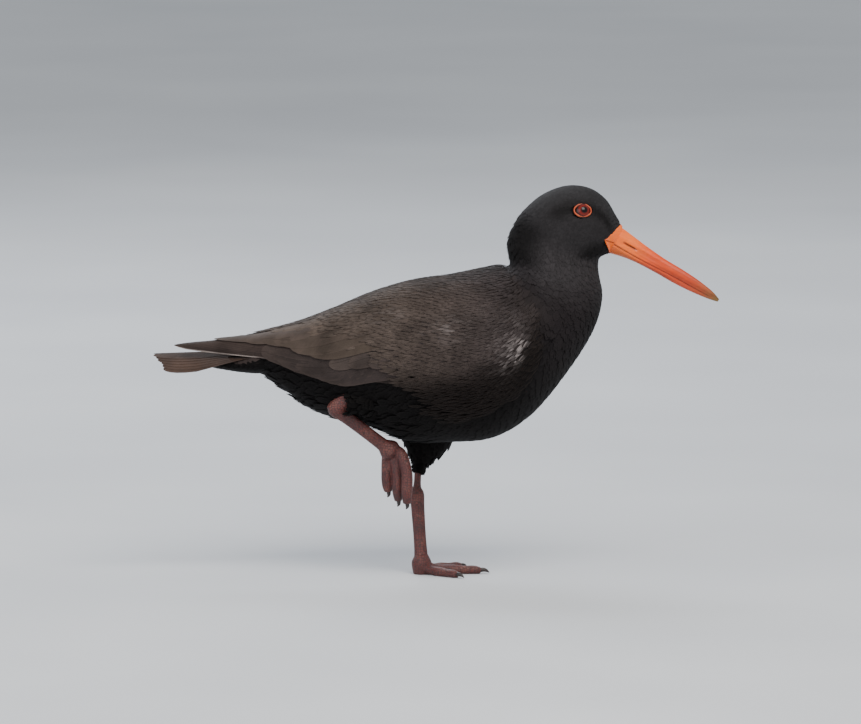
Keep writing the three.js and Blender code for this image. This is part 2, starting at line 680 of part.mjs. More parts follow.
// Materials, with the colours of the finished bird
const finish = (color, roughness) => new THREE.MeshStandardMaterial({ color, roughness, metalness: 0 });
const BLACK_PLUMAGE = finish("#1d1a1b", 0.85);
const BROWN_PLUMAGE = finish("#4a403d", 0.8);
const ORANGE_BILL = finish("#df6a3c", 0.45);
const RED_EYE = finish("#7a1f10", 0.15);
const ORANGE_LID = finish("#e2663a", 0.55);
const LEG_SKIN = finish("#6b4340", 0.6);
const CLAW_HORN = finish("#241c1a", 0.5);

const bird = new THREE.Group();
const add = (name, body, material) => bird.add(meshOf(name, body, material));

// Torso, neck and head
const torso = (grow) => bodyStretch(TAIL_ROOT, NECK_BASE, STRETCH_STEPS.torso, grow);
const head = (grow) => bodyStretch(NAPE, LAST_RIB, STRETCH_STEPS.head, grow);
const grownTorso = torso(GAP);
const eyeSockets = [LEFT, RIGHT].map((side) => ball(eyeCentre(side), Array(3).fill(EYE.radius), 0, GAP));
add("torso", torso(0), BLACK_PLUMAGE);
add("neck", bodyStretch(NECK_BASE, NAPE, STRETCH_STEPS.neck), BLACK_PLUMAGE);
add("head", cut(head(0), ...eyeSockets), BLACK_PLUMAGE);

// Bill: its base stands face to face with the end of the head
const grownHead = head(GAP);
const nostrils = [LEFT, RIGHT].map((side) =>
  ball(
    billPoint(NOSTRIL.along, side * NOSTRIL.side, NOSTRIL.height),
    [NOSTRIL.long, NOSTRIL.deep, NOSTRIL.tall],
    BILL_DROOP,
  ),
);
add("bill_upper", cut(mandible(true), grownHead, ...nostrils), ORANGE_BILL);
add("bill_lower", cut(mandible(false), grownHead), ORANGE_BILL);

for (const [name, side] of [["left", LEFT], ["right", RIGHT]]) {
  const socket = side === LEFT ? eyeSockets[0] : eyeSockets[1];
  add("eye_" + name, ball(eyeCentre(side), Array(3).fill(EYE.radius)), RED_EYE);
  add("lids_" + name, cut(lids(side), socket, grownHead), ORANGE_LID);
}

// Wings and tail
for (const [name, side] of [["left", LEFT], ["right", RIGHT]]) {
  const grown = join([wingCore(side), ...wingFeathers(side)]);
  add("wing_" + name, cut(grown.intersect(halfSpace(side)), grownTorso), BROWN_PLUMAGE);
}
const rectrices = [];
for (let pair = 0; pair < RECTRICES.pairs; pair++) {
  rectrices.push(rectrix(pair, LEFT), rectrix(pair, RIGHT));
}
add("tail", cut(join([tailCore(), ...rectrices]), wingRoom(), grownTorso), BROWN_PLUMAGE);

// Legs, from the belly down
add("leg_left_thigh", cut(thigh(), grownTorso), BLACK_PLUMAGE);
add("leg_left_shank", cut(standingShank(), thigh(GAP), standingTarsus(GAP)), LEG_SKIN);
add("leg_left_tarsus", standingTarsus(), LEG_SKIN);
add("leg_right_shank", cut(liftedShank(), grownTorso, liftedTarsus(GAP)), LEG_SKIN);
add("leg_right_tarsus", cut(liftedTarsus(), grownTorso), LEG_SKIN);

// Toes: the middle one whole, the others cut clear of it and of each other
function addToes(leg, toes, toe, claw, palm) {
  const done = [palm];
  for (const name of ["middle", "outer", "inner"]) {
    const spec = toes.find((entry) => entry.name === name);
    add("toe_" + leg + "_" + name, cut(toe(spec), ...done), LEG_SKIN);
    add("claw_" + leg + "_" + name, claw(spec), CLAW_HORN);
    done.push(toe(spec, GAP));
  }
}
addToes("left", STANDING_TOES, standingToe, standingClaw, standingTarsus(GAP));
addToes("right", LIFTED_TOES, liftedToe, liftedClaw, liftedTarsus(GAP));

// The origin is under the middle of the bird's box, on the floor
const box = new THREE.Box3().setFromObject(bird);
const middle = box.getCenter(new THREE.Vector3());
bird.position.set(-middle.x, -middle.y, -box.min.z);

const part = new THREE.Group();
part.add(bird);
export default part;
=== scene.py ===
# %% [markdown]
# # A sooty oystercatcher, life size
#
# The bird stands on its left foot with the right one lifted, wings folded and the long bill
# slanting down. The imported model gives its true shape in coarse, closed pieces. This file gives
# it its looks: one skin under everything, feathers as thin solid vanes that overlap like
# roof tiles, a horny bill, wet eyes, and scaled legs. Every shape is a formula over two
# parameters, worked out for all its points at once, in millimetres of the maker's own frame.

import bpy
import numpy as np
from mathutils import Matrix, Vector


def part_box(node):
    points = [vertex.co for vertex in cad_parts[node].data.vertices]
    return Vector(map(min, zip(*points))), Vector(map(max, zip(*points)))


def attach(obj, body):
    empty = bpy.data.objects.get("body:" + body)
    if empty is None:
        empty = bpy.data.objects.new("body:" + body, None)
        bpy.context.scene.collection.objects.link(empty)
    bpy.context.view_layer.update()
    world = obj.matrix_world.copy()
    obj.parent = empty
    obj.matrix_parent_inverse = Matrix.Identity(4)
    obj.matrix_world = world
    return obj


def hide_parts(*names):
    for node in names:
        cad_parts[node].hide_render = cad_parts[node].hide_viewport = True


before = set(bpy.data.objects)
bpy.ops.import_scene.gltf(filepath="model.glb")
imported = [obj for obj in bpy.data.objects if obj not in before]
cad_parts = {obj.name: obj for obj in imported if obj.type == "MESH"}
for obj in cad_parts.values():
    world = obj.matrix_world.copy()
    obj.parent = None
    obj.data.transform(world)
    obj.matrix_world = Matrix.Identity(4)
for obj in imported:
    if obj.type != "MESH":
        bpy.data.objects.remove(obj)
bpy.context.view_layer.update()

# %% [markdown]
# ## The body as one lofted surface
#
# A bird's body has no corners, so it can be drawn as ovals strung along its back: from the
# wing tips over rump, breast and neck, then fanning round the throat to the base of the bill.
# Each oval is given by its point on the back, its point on the belly and its half width. A
# smooth curve is pulled through each number, so any place on the bird has two coordinates:
# the rib, which may be a fraction, and the angle round it, 0 on the back.

# %% Ribs: back x and z, belly x and z, half width, in millimetres
RIBS = np.array([
    (-168.0, 149.6, -168.0, 145.1, 11.0),   # 0 wing tips
    (-145.0, 152.2, -144.3, 141.3, 12.5),
    (-120.0, 154.6, -120.0, 134.8, 14.5),   # 2 end of the folded wings
    (-106.6, 157.4, -110.4, 130.3, 17.0),   # 3 root of the tail
    (-86.1, 162.9, -88.6, 113.6, 24.0),     # 4 vent
    (-63.7, 171.2, -66.2, 102.4, 32.0),
    (-40.0, 180.9, -43.2, 96.8, 39.0),      # 6 hips
    (-15.0, 188.2, -18.2, 87.0, 44.0),
    (8.6, 191.6, 9.9, 86.0, 46.5),          # 8 belly
    (26.6, 195.2, 36.8, 89.0, 46.5),
    (38.1, 197.7, 61.1, 103.8, 44.0),       # 10 crop
    (44.2, 198.6, 84.2, 131.6, 40.0),
    (46.4, 199.7, 100.2, 157.4, 34.5),      # 12 upper breast
    (46.7, 201.8, 106.1, 178.6, 28.5),
    (46.4, 205.3, 103.7, 195.4, 25.0),      # 14 neck
    (45.4, 210.2, 104.0, 203.7, 23.0),
    (45.8, 216.0, 107.2, 206.3, 22.0),      # 16 nape
    (49.0, 224.4, 109.1, 206.9, 21.5),
    (55.8, 234.8, 110.1, 207.3, 21.0),
    (67.6, 245.1, 110.5, 207.5, 20.3),      # 19 crown
    (83.0, 250.8, 110.9, 207.6, 18.8),
    (97.4, 249.4, 111.2, 207.7, 16.2),      # 21 brow
    (108.1, 242.2, 111.2, 207.8, 13.0),
    (114.3, 232.4, 110.9, 207.9, 9.4),      # 23 lore
    (119.2, 224.4, 110.1, 208.0, 6.4),      # 24 base of the bill
])
LAST_RIB = len(RIBS) - 1
PEAR = 0.05        # how much wider the back half of each oval is than the belly half
LEFT, RIGHT = 1, -1


def smooth_line(values, at):
    """Curve through a list of values: between two of them, a cubic whose slopes at both are
    half the difference of their neighbours. The ends go straight on."""
    values = np.asarray(values, float)
    padded = np.vstack([2 * values[0] - values[1], values, 2 * values[-1] - values[-2]])
    low = np.clip(np.floor(at).astype(int), 0, len(values) - 2)
    w = (at - low)[..., None]
    a, b, c, d = (padded[low + k] for k in range(4))
    square, cube = 2 * a - 5 * b + 4 * c - d, 3 * b - a - 3 * c + d
    return 0.5 * (2 * b + (c - a) * w + square * w**2 + cube * w**3)


def body(rib, angle):
    """Middle of the oval, plus its back arm times the cosine of the angle, and sideways the
    half width times the sine, a little more towards the back."""
    rib, angle = np.broadcast_arrays(np.asarray(rib, float), np.asarray(angle, float))
    value = smooth_line(RIBS, np.clip(rib, 0, LAST_RIB))
    back, belly, half = value[..., 0:2], value[..., 2:4], value[..., 4]
    flat = (back + belly) / 2 + (back - belly) / 2 * np.cos(angle)[..., None]
    side = half * np.sin(angle) * (1 + PEAR * np.cos(angle))
    return np.stack([flat[..., 0], side, flat[..., 1]], axis=-1)


# %% Slopes, normals and steps on any such surface
def unit(vector):
    """The vector divided by its own length."""
    return vector / np.maximum(np.linalg.norm(vector, axis=-1, keepdims=True), 1e-12)


def dot(a, b):
    return (a * b).sum(axis=-1)


def slopes(surface, u, v, step=0.02):
    """How the point moves with each parameter, by taking a small step both ways, and the
    outward normal: the cross product of the two."""
    along = (surface(u + step, v) - surface(u - step, v)) / (2 * step)
    around = (surface(u, v + step) - surface(u, v - step)) / (2 * step)
    return along, around, unit(np.cross(along, around))


def raised(surface, u, v, height):
    """The surface's point, moved out along its normal."""
    return surface(u, v) + slopes(surface, u, v)[2] * np.asarray(height)[..., None]


def walk(surface, u, v, move):
    """Parameters after a short move over the surface. The two slopes are weighed so that
    together they make up the move: two equations in two unknowns, solved by determinants. No
    step is longer than 0.8 in the first parameter and 0.6 in the second."""
    along, around, _ = slopes(surface, u, v)
    aa, bb, ab = dot(along, along), dot(around, around), dot(along, around)
    ma, mb = dot(along, move), dot(around, move)
    whole = np.maximum(aa * bb - ab * ab, 1e-4)
    return (
        u + np.clip((ma * bb - mb * ab) / whole, -0.8, 0.8),
        v + np.clip((mb * aa - ma * ab) / whole, -0.6, 0.6),
    )


def ease(value, low, high):
    """0 below low, 1 above high, and an S-shaped rise between."""
    share = np.clip((np.asarray(value, float) - low) / (high - low), 0, 1)
    return share * share * (3 - 2 * share)


EYE = {"rib": 20.12, "angle": np.radians(69.5), "radius": 6.2, "depth": 4.3}


def eye_centre(side):
    """Middle of the eyeball: the cheek's surface point, sunk along its normal."""
    return raised(body, np.array([EYE["rib"]]), np.array([side * EYE["angle"]]), [-EYE["depth"]])[0]


low, high = (np.array(corner) * 1000 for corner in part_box("eye_left"))
SHIFT = (low + high) / 2 - eye_centre(LEFT)
print("from the maker's frame to the model's, mm:", np.round(SHIFT, 3))

# %% [markdown]
# ## Meshes from arrays
#
# A piece reaches Blender as bare arrays: points, four-sided and three-sided faces, maps and
# attributes. Filling the mesh this way keeps thousands of feathers quick. The alternative, a
# loop that adds one vertex at a time, takes minutes for the same result.

# %% One function that makes a piece
MM = 0.001


def piece(
    name, points, quads, tris=(), maps=None, marks=None, material=None, replaces=(), rims=False,
):
    """Points in millimetres are shifted, turned to metres and joined by the faces. A map has
    two numbers for each point and is copied to every corner that uses the point. With rims,
    folds of more than a right angle are shaded as sharp edges, the rest as one smooth face."""
    quads = np.asarray(quads, np.int32).reshape(-1, 4)
    tris = np.asarray(tris, np.int32).reshape(-1, 3)
    corners = np.concatenate([quads.ravel(), tris.ravel()])
    starts = np.concatenate([np.arange(len(quads)) * 4, quads.size + np.arange(len(tris)) * 3])
    mesh = bpy.data.meshes.new(name)
    mesh.vertices.add(len(points))
    mesh.vertices.foreach_set("co", ((points + SHIFT) * MM).astype(np.float32).ravel())
    mesh.loops.add(len(corners))
    mesh.loops.foreach_set("vertex_index", corners.astype(np.int32))
    mesh.polygons.add(len(starts))
    mesh.polygons.foreach_set("loop_start", starts.astype(np.int32))
    mesh.polygons.foreach_set("use_smooth", np.ones(len(starts), bool))
    for map_name, values in (maps or {}).items():
        layer = mesh.uv_layers.new(name=map_name)
        layer.data.foreach_set("uv", values[corners].astype(np.float32).ravel())
    for mark, values in (marks or {}).items():
        kind, field = ("FLOAT_COLOR", "color") if values.ndim == 2 else ("FLOAT", "value")
        mesh.attributes.new(mark, kind, "POINT").data.foreach_set(field, values.astype(np.float32).ravel())
    mesh.update(calc_edges=True)
    if rims:
        mesh.set_sharp_from_angle(angle=np.pi / 2)
    made = bpy.data.objects.new(name, mesh)
    bpy.context.scene.collection.objects.link(made)
    made.data.materials.append(material)
    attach(made, "root")
    if replaces:
        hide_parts(*replaces)
    print(f"{name}: {len(points)} points, {2 * len(quads) + len(tris)} triangles")
    return made


def tube_faces(rings, sides):
    """Faces of a closed tube: squares between the rings, and a fan to a pole at each end. The
    poles are the two points after the rings'."""
    place = np.arange(rings * sides).reshape(rings, sides)
    turned = np.roll(place, -1, axis=1)
    quads = np.stack([place[:-1], place[1:], turned[1:], turned[:-1]], axis=-1).reshape(-1, 4)
    first, last = np.full(sides, rings * sides), np.full(sides, rings * sides + 1)
    start = np.stack([first, place[0], turned[0]], axis=-1)
    end = np.stack([last, turned[-1], place[-1]], axis=-1)
    return quads, np.concatenate([start, end])


def closed_tube(surface, u_values, sides):
    """The surface sampled on rings, and the middle of each end ring as its pole."""
    angles = np.arange(sides) * 2 * np.pi / sides
    rings = surface(*np.meshgrid(u_values, angles, indexing="ij"))
    points = np.concatenate([rings.reshape(-1, 3), rings[0].mean(0)[None], rings[-1].mean(0)[None]])
    quads, tris = tube_faces(len(u_values), sides)
    return points, quads, tris


# %% [markdown]
# ## Materials of the plumage
#
# A feather's colour is in its barbs, fine branches of keratin that lie side by side. They
# scatter light softly, with a faint sheen along the lie, and worn rims turn paler and browner.
# The ground colour comes from a formula over the bird, kept as an attribute of each point, so
# that skin and feathers carry the same markings. The nodes add the streaks of the barbs, the
# shaft, the worn rim and a slow variation from feather to feather.

# %% Colours, and one function that adds a node
def linear(code):
    """The linear colour of an sRGB hex value: each channel divided by 12.92 when dark, else
    raised to the power 2.4."""
    srgb = np.array([int(code[k:k + 2], 16) for k in (1, 3, 5)]) / 255
    return np.where(srgb <= 0.04045, srgb / 12.92, ((srgb + 0.055) / 1.055) ** 2.4)


def paint(code):
    return (*linear(code), 1.0)


def add_node(tree, kind, inputs=None, **settings):
    """A shader node with its settings, each input either linked or given its value."""
    made = tree.nodes.new("ShaderNode" + kind)
    for name, value in settings.items():
        setattr(made, name, value)
    for key, value in (inputs or {}).items():
        if isinstance(value, bpy.types.NodeSocket):
            tree.links.new(value, made.inputs[key])
        else:
            made.inputs[key].default_value = value
    return made


def mix_colours(tree, share, under, over, how="MIX"):
    """One colour laid over another by a share, or multiplied with it."""
    return add_node(tree, "Mix", {0: share, 6: under, 7: over}, data_type="RGBA", blend_type=how).outputs[2]


def new_material(name, finish):
    """An empty material, its node tree, and its shader, with the plain values of its finish,
    already wired to the output."""
    made = bpy.data.materials.new(name)
    made.use_nodes = True
    made.node_tree.nodes.clear()
    shader = add_node(made.node_tree, "BsdfPrincipled", finish)
    add_node(made.node_tree, "OutputMaterial", {"Surface": shader.outputs[0]})
    return made, made.node_tree, shader


def per_metre(size_mm):
    """How often a pattern of this size fits in a metre: its scale on Object coordinates."""
    return 1000 / size_mm


def set_ramp(ramp, stops):
    """Puts the stops, pairs of place and colour, on a colour ramp."""
    while len(ramp.color_ramp.elements) < len(stops):
        ramp.color_ramp.elements.new(0.5)
    for element, (place, code) in zip(ramp.color_ramp.elements, stops):
        element.position = place
        element.color = paint(code)
    return ramp


# %% Barbs and worn rims: the plumage material
BARB_MM = 0.9      # real barbs are 0.3 mm apart; drawn coarser so that they show at all
CLOUD_MM = 16.13   # patches of plumage that lie more or less smooth


def plumage(name, rim, rim_share, shaft, roughness, sheen, bump, clouds):
    """Keratin barbs: soft, nearly matt, with a low sheen. rim is the colour of the worn edge
    and rim_share how much of it shows. clouds is how much the tone comes and goes over the
    body."""
    made, tree, shader = new_material(name, {
        "Roughness": roughness, "Specular IOR Level": 0.08, "Sheen Weight": sheen,
        "Sheen Roughness": 0.5,
    })
    tone = add_node(tree, "Attribute", attribute_name="Tone").outputs["Color"]
    edge = add_node(tree, "Attribute", attribute_name="Edge").outputs["Fac"]
    tint = add_node(tree, "Attribute", attribute_name="Tint").outputs["Fac"]
    vane = add_node(tree, "UVMap", uv_map="Vane").outputs[0]
    split = add_node(tree, "SeparateXYZ", {0: vane})
    spread = add_node(tree, "Math", {0: split.outputs["X"]}, operation="ABSOLUTE").outputs[0]
    slant = add_node(tree, "Math", {0: split.outputs["Y"], 1: spread}, operation="SUBTRACT").outputs[0]
    barb_place = add_node(tree, "CombineXYZ", {0: slant, 1: tint, 2: 0.0}).outputs[0]
    streaks = add_node(
        tree, "TexNoise", {"Vector": barb_place, "Scale": 1.0 / BARB_MM, "Detail": 2.0, "Roughness": 0.6}
    ).outputs["Fac"]
    place = add_node(tree, "TexCoord").outputs["Object"]
    cloudy = {"Vector": place, "Scale": per_metre(CLOUD_MM), "Detail": 3.0}
    patches = add_node(tree, "TexNoise", cloudy).outputs["Fac"]
    # Brightness: about 1 on average, more or less by feather, by cloud and by barb
    level = 0.655 - 0.5 * clouds
    for source, share in ((tint, 0.45), (patches, clouds), (streaks, 0.3)):
        level = add_node(tree, "Math", {0: source, 1: share, 2: level}, operation="MULTIPLY_ADD").outputs[0]
    grey = add_node(tree, "CombineColor", {0: level, 1: level, 2: level}).outputs[0]
    ground = mix_colours(tree, 1.0, tone, grey, "MULTIPLY")
    near_rim = add_node(tree, "Math", {0: edge, 1: 5.0}, operation="POWER").outputs[0]
    worn = add_node(tree, "Math", {0: near_rim, 1: rim_share}, operation="MULTIPLY").outputs[0]
    with_rim = mix_colours(tree, worn, ground, paint(rim))
    near_shaft = add_node(tree, "MapRange", {0: spread, 1: 0.12, 2: 0.32, 3: shaft, 4: 0.0}).outputs[0]
    with_shaft = mix_colours(tree, near_shaft, with_rim, paint("#0e0b0a"))
    relief = add_node(tree, "Bump", {"Strength": bump, "Distance": 0.0004, "Height": streaks}).outputs[0]
    tree.links.new(with_shaft, shader.inputs["Base Color"])
    tree.links.new(relief, shader.inputs["Normal"])
    return made


SOOTY = plumage(
    "contour feather keratin", rim="#262322", rim_share=0.18, shaft=0.1,
    roughness=0.72, sheen=0.02, bump=0.3, clouds=0.5,
)
BROWN = plumage(
    "worn flight feather keratin", rim="#5a4c44", rim_share=0.2, shaft=0.3,
    roughness=0.66, sheen=0.02, bump=0.45, clouds=1.7,
)

# %% [markdown]
# ## Markings, with painted shade and light
#
# The bird is black all over, yet no two parts are the same black: slate and velvety on the
# crown, which is painted a little lighter on top as painted light, brown on the mantle, and
# nearly pure black below, a black deepened there by painted shade. The nape, the throat and a
# band through the eye are darkened too, as painted shade. Each tone is a soft-edged zone over
# rib and angle, laid one on the other. A painted texture could do it too, but a formula serves
# the skin and every feather alike.

# %% Ground tone by place
BELLY_BLACK_WITH_PAINTED_SHADE = linear("#070505")
BREAST_SOOT = linear("#1f1b1c")
NECK_SLATE = linear("#2f2c2d")
CROWN_SLATE_WITH_TOP_LIGHT = linear("#2e2d2e")
CHEEK_SLATE = linear("#292728")
MANTLE_BROWN = linear("#302826")
PAINTED_SHADE_BLACK = linear("#080707")
SHOULDER_SOOT = linear("#241f1e")


def blend(under, over, share):
    """One colour over another, by a share for each point."""
    return under + (np.asarray(over) - under) * np.asarray(share)[..., None]


def body_tone(rib, angle):
    """Belly black deepened by painted shade, with breast, neck, cheek, crown (lighter on top:
    painted light), painted shade in the nape, the throat and a band through the eye, shoulder
    and mantle laid over it in that order, each where its ribs and angles are."""
    turn = np.abs(np.degrees(angle))
    # The base is the belly's black, deepened by painted shade.
    tone = np.broadcast_to(BELLY_BLACK_WITH_PAINTED_SHADE, (*np.shape(rib), 3)).copy()
    tone = blend(tone, BREAST_SOOT, ease(rib, 9.5, 12.5) * ease(turn, 175, 120))
    tone = blend(tone, NECK_SLATE, ease(rib, 12.5, 14.5) * (0.45 + 0.55 * ease(turn, 40, 80)))
    tone = blend(tone, CHEEK_SLATE, ease(rib, 16, 18.5))
    # Painted light: the crown is laid a little lighter than the cheek, as if lit from above.
    tone = blend(tone, CROWN_SLATE_WITH_TOP_LIGHT, ease(rib, 17, 19.5) * ease(turn, 62, 30))
    # Painted shade: the nape, the throat and a band through the eye are darkened towards near black.
    nape = ease(rib, 14.4, 15.6) * ease(rib, 18.6, 17.4) * ease(turn, 88, 55)
    tone = blend(tone, PAINTED_SHADE_BLACK, 0.85 * nape)
    throat = ease(rib, 16, 17.5) * ease(turn, 112, 135)
    tone = blend(tone, PAINTED_SHADE_BLACK, 0.8 * throat)
    eye_band_shade = ease(rib, 18.4, 19.4) * ease(rib, 23.6, 22.4) * np.exp(-(((turn - 62) / 13) ** 2))
    tone = blend(tone, PAINTED_SHADE_BLACK, 0.7 * eye_band_shade)
    shoulder = ease(rib, 9.5, 10.6) * ease(rib, 13.0, 11.8) * ease(turn, 112, 70)
    tone = blend(tone, SHOULDER_SOOT, 0.8 * shoulder)
    mantle = ease(turn, 62, 28) * ease(rib, 2, 4) * ease(rib, 13.6, 12.2)
    tone = blend(tone, MANTLE_BROWN, mantle)
    return tone


# %% [markdown]
# ## Skin
#
# Under the feathers is one skin for torso, neck, head and both feathered thighs. It lies inside
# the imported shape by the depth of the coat, 2 mm on the body and less on the face, so the
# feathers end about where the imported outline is. It only shows between feathers, but it is what
# keeps light from passing through the bird.

# %% A limb as a tube round a line
def limb(path, sizes, across):
    """A tube's surface over a place on its line and an angle: the line's point, plus the fore
    half size times the cosine, less the side half size times the sine."""
    path, sizes = np.asarray(path, float), np.asarray(sizes, float)
    across = np.asarray(across, float)
    last = len(path) - 1

    def surface(u, angle):
        u, angle = np.broadcast_arrays(np.asarray(u, float), np.asarray(angle, float))
        at = np.clip(u, 0, last)
        ahead, behind = np.minimum(at + 0.02, last), np.maximum(at - 0.02, 0)
        tangent = unit(smooth_line(path, ahead) - smooth_line(path, behind))
        side = unit(across - tangent * dot(tangent, across)[..., None])
        fore = np.cross(side, tangent)
        half = smooth_line(sizes, at)
        return (
            smooth_line(path, at)
            + fore * (half[..., 0] * np.cos(angle))[..., None]
            - side * (half[..., 1] * np.sin(angle))[..., None]
        )

    return surface


HIP, KNEE = np.array([-4, 17, 96.0]), np.array([-12, 11, 64.0])
THIGH_PATH = [HIP, HIP + 0.45 * (KNEE - HIP), HIP + 0.8 * (KNEE - HIP), KNEE]
THIGH_SIZES = [(20, 15), (13, 10), (4.8, 4.5), (3.0, 2.9)]
thigh = limb(THIGH_PATH, THIGH_SIZES, (0, 1, 0))
FLANK_PATH = [(-32, -22, 118.5), (-44, -25, 115.8), (-52.5, -26.6, 115.0), (-62, -27, 112.2)]
FLANK_END = 2.0    # where its skin stops; the feathers' tips run on over the bare shank
flank = limb(FLANK_PATH, [(10, 7.4), (9.6, 7.4), (7.2, 6.0), (6.0, 5.2)], (0, 1, 0))


def coat_depth(rib):
    """Thickness of the coat: 2 mm on the body, falling to 0.7 mm at the bill."""
    return np.interp(rib, [2, 3, 12, 16, 20, 24], [0.8, 2.0, 2.0, 1.4, 0.9, 0.6])


def skin_surface(rib, angle):
    """The body drawn in by the depth of the coat."""
    return raised(body, rib, angle, -coat_depth(rib))


def body_map(rib, angle):
    """The skin laid flat: the angle across and the rib up."""
    return np.stack([(angle / (2 * np.pi)) % 1.0, 0.02 + 0.9 * rib / LAST_RIB], axis=-1)


SKIN_RIBS = np.concatenate([np.linspace(2.0, 12, 100), np.linspace(12.1, 24, 140)])
SKIN_SIDES = 96
skin_points, skin_quads, skin_tris = closed_tube(skin_surface, SKIN_RIBS, SKIN_SIDES)
turns = np.arange(SKIN_SIDES) * 2 * np.pi / SKIN_SIDES
rib_grid, turn_grid = (g.ravel() for g in np.meshgrid(SKIN_RIBS, turns, indexing="ij"))
rib_grid = np.append(rib_grid, SKIN_RIBS[[0, -1]])
turn_grid = np.append(turn_grid, [0, 0])
THIGH_END = len(THIGH_PATH) - 1
THIGH_RINGS, THIGH_SIDES, THIGH_COAT = np.linspace(0, THIGH_END, 40), 32, 0.5


def drawn_in(surface, depth):
    """The surface, lowered everywhere by the same depth."""
    return lambda u, angle: raised(surface, u, angle, -depth + 0 * u)


thigh_points, thigh_quads, thigh_tris = closed_tube(drawn_in(thigh, THIGH_COAT), THIGH_RINGS, THIGH_SIDES)
flank_points, flank_quads, flank_tris = closed_tube(
    drawn_in(flank, THIGH_COAT), THIGH_RINGS * FLANK_END / THIGH_END, THIGH_SIDES
)
thigh_quads = np.concatenate([thigh_quads, flank_quads + len(thigh_points)])
thigh_tris = np.concatenate([thigh_tris, flank_tris + len(thigh_points)])
thigh_points = np.concatenate([thigh_points, flank_points])
offset = len(skin_points)
thigh_map = np.stack([np.full(len(thigh_points), 0.5), np.linspace(0.93, 0.99, len(thigh_points))], -1)
all_points = np.concatenate([skin_points, thigh_points])
# The thighs take the belly's black, with its painted shade.
tones = np.concatenate([body_tone(rib_grid, turn_grid), np.broadcast_to(BELLY_BLACK_WITH_PAINTED_SHADE, thigh_points.shape)])


def opaque(tone):
    """The colours with a fourth channel of ones."""
    return np.concatenate([tone, np.ones((len(tone), 1))], axis=1)


# Painted shade: the skin shows only between the feathers, so its tone is darkened below theirs.
SKIN_PAINTED_SHADE = 0.6     # the skin is darker than the feathers on it
piece(
    "skin", all_points, np.concatenate([skin_quads, thigh_quads + offset]),
    np.concatenate([skin_tris, thigh_tris + offset]),
    maps={"OFBake": np.concatenate([body_map(rib_grid, turn_grid), thigh_map])},
    marks={"Tone": opaque(tones * SKIN_PAINTED_SHADE), "Tint": np.full(len(all_points), 0.5)},
    material=SOOTY, replaces=("torso", "neck", "head", "leg_left_thigh"),
)

# %% [markdown]
# ## The lie of the coat
#
# Contour feathers grow in even rows, point backwards and cover one another like tiles. Their
# roots are spread by a sequence that never clusters, bent so that each patch of skin gets its
# share: small and dense on the face, longer on the body. Each feather is then walked over the
# surface from its root, so it hugs every curve. Hair particles could do this in a viewport,
# but would be lost in the exported model, so each feather is a small closed solid.

# %% Even roots on any surface
EVEN_STEPS = (0.7548776662, 0.5698402910)     # one over the plastic number, and over its square


def scatter(surface, u_span, v_span, gap, cells=260):
    """Roots about gap apart. Each cell's area over gap squared is the number of roots it
    should hold; running sums of these turn an even sequence on the unit square into places."""
    u_edges, v_edges = (np.linspace(*span, cells + 1) for span in (u_span, v_span))
    u, v = ((e[1:] + e[:-1]) / 2 for e in (u_edges, v_edges))
    u_grid, v_grid = np.meshgrid(u, v, indexing="ij")
    along, around, _ = slopes(surface, u_grid, v_grid)
    stretch = np.linalg.norm(np.cross(along, around), axis=-1)
    area = stretch * (u_edges[1] - u_edges[0]) * (v_edges[1] - v_edges[0])
    wanted = area / gap(u_grid, v_grid) ** 2
    rows = np.concatenate([[0], np.cumsum(wanted.sum(1))])
    count = int(rows[-1])
    k = np.arange(count)
    first, second = ((0.5 + k * step) % 1 for step in EVEN_STEPS)
    root_u = np.interp(first * rows[-1], rows, u_edges)
    row = np.clip(np.searchsorted(u_edges, root_u) - 1, 0, cells - 1)
    sums = np.concatenate([np.zeros((cells, 1)), np.cumsum(wanted, 1)], axis=1)
    sums = sums / sums[:, -1:] * (1 - 1e-6) + np.arange(cells)[:, None]
    root_v = np.interp(row + second, sums.ravel(), np.tile(v_edges, cells))
    return root_u, root_v


# %% Vanes: closed lenses that share their rim
def lens_faces(rows, columns):
    """Faces of a thin lens: a grid above, the same grid turned over below. The rim's points
    serve both, and only the inner points have a partner underneath."""
    top = np.arange(rows * columns).reshape(rows, columns)
    under = top.copy()
    inner = (rows - 2) * (columns - 2)
    under[1:-1, 1:-1] = rows * columns + np.arange(inner).reshape(rows - 2, columns - 2)
    upper = np.stack([top[:-1, :-1], top[1:, :-1], top[1:, 1:], top[:-1, 1:]], axis=-1)
    lower = np.stack([under[:-1, :-1], under[:-1, 1:], under[1:, 1:], under[1:, :-1]], axis=-1)
    return np.concatenate([upper.reshape(-1, 4), lower.reshape(-1, 4)]), rows * columns + inner


def lenses(top, normal, thick):
    """Points of many lenses: each grid of points, then its inner points sunk by the
    thickness. thick has one number for each feather."""
    count = len(top)
    sunk = top[:, 1:-1, 1:-1] - normal[:, 1:-1, 1:-1] * np.reshape(thick, (-1, 1, 1, 1))
    return np.concatenate([top.reshape(count, -1, 3), sunk.reshape(count, -1, 3)], axis=1)


def with_under(values):
    """The same marks for the points of each grid and again for the sunk inner ones."""
    count, tail = len(values), values.shape[3:]
    inner = values[:, 1:-1, 1:-1]
    return np.concatenate([values.reshape(count, -1, *tail), inner.reshape(count, -1, *tail)], axis=1)


CONTOUR = {"rows": [(0, 0.4), (0.32, 0.86), (0.62, 1.0), (0.86, 0.78), (1.0, 0.26)], "columns": [-1, 0, 1]}


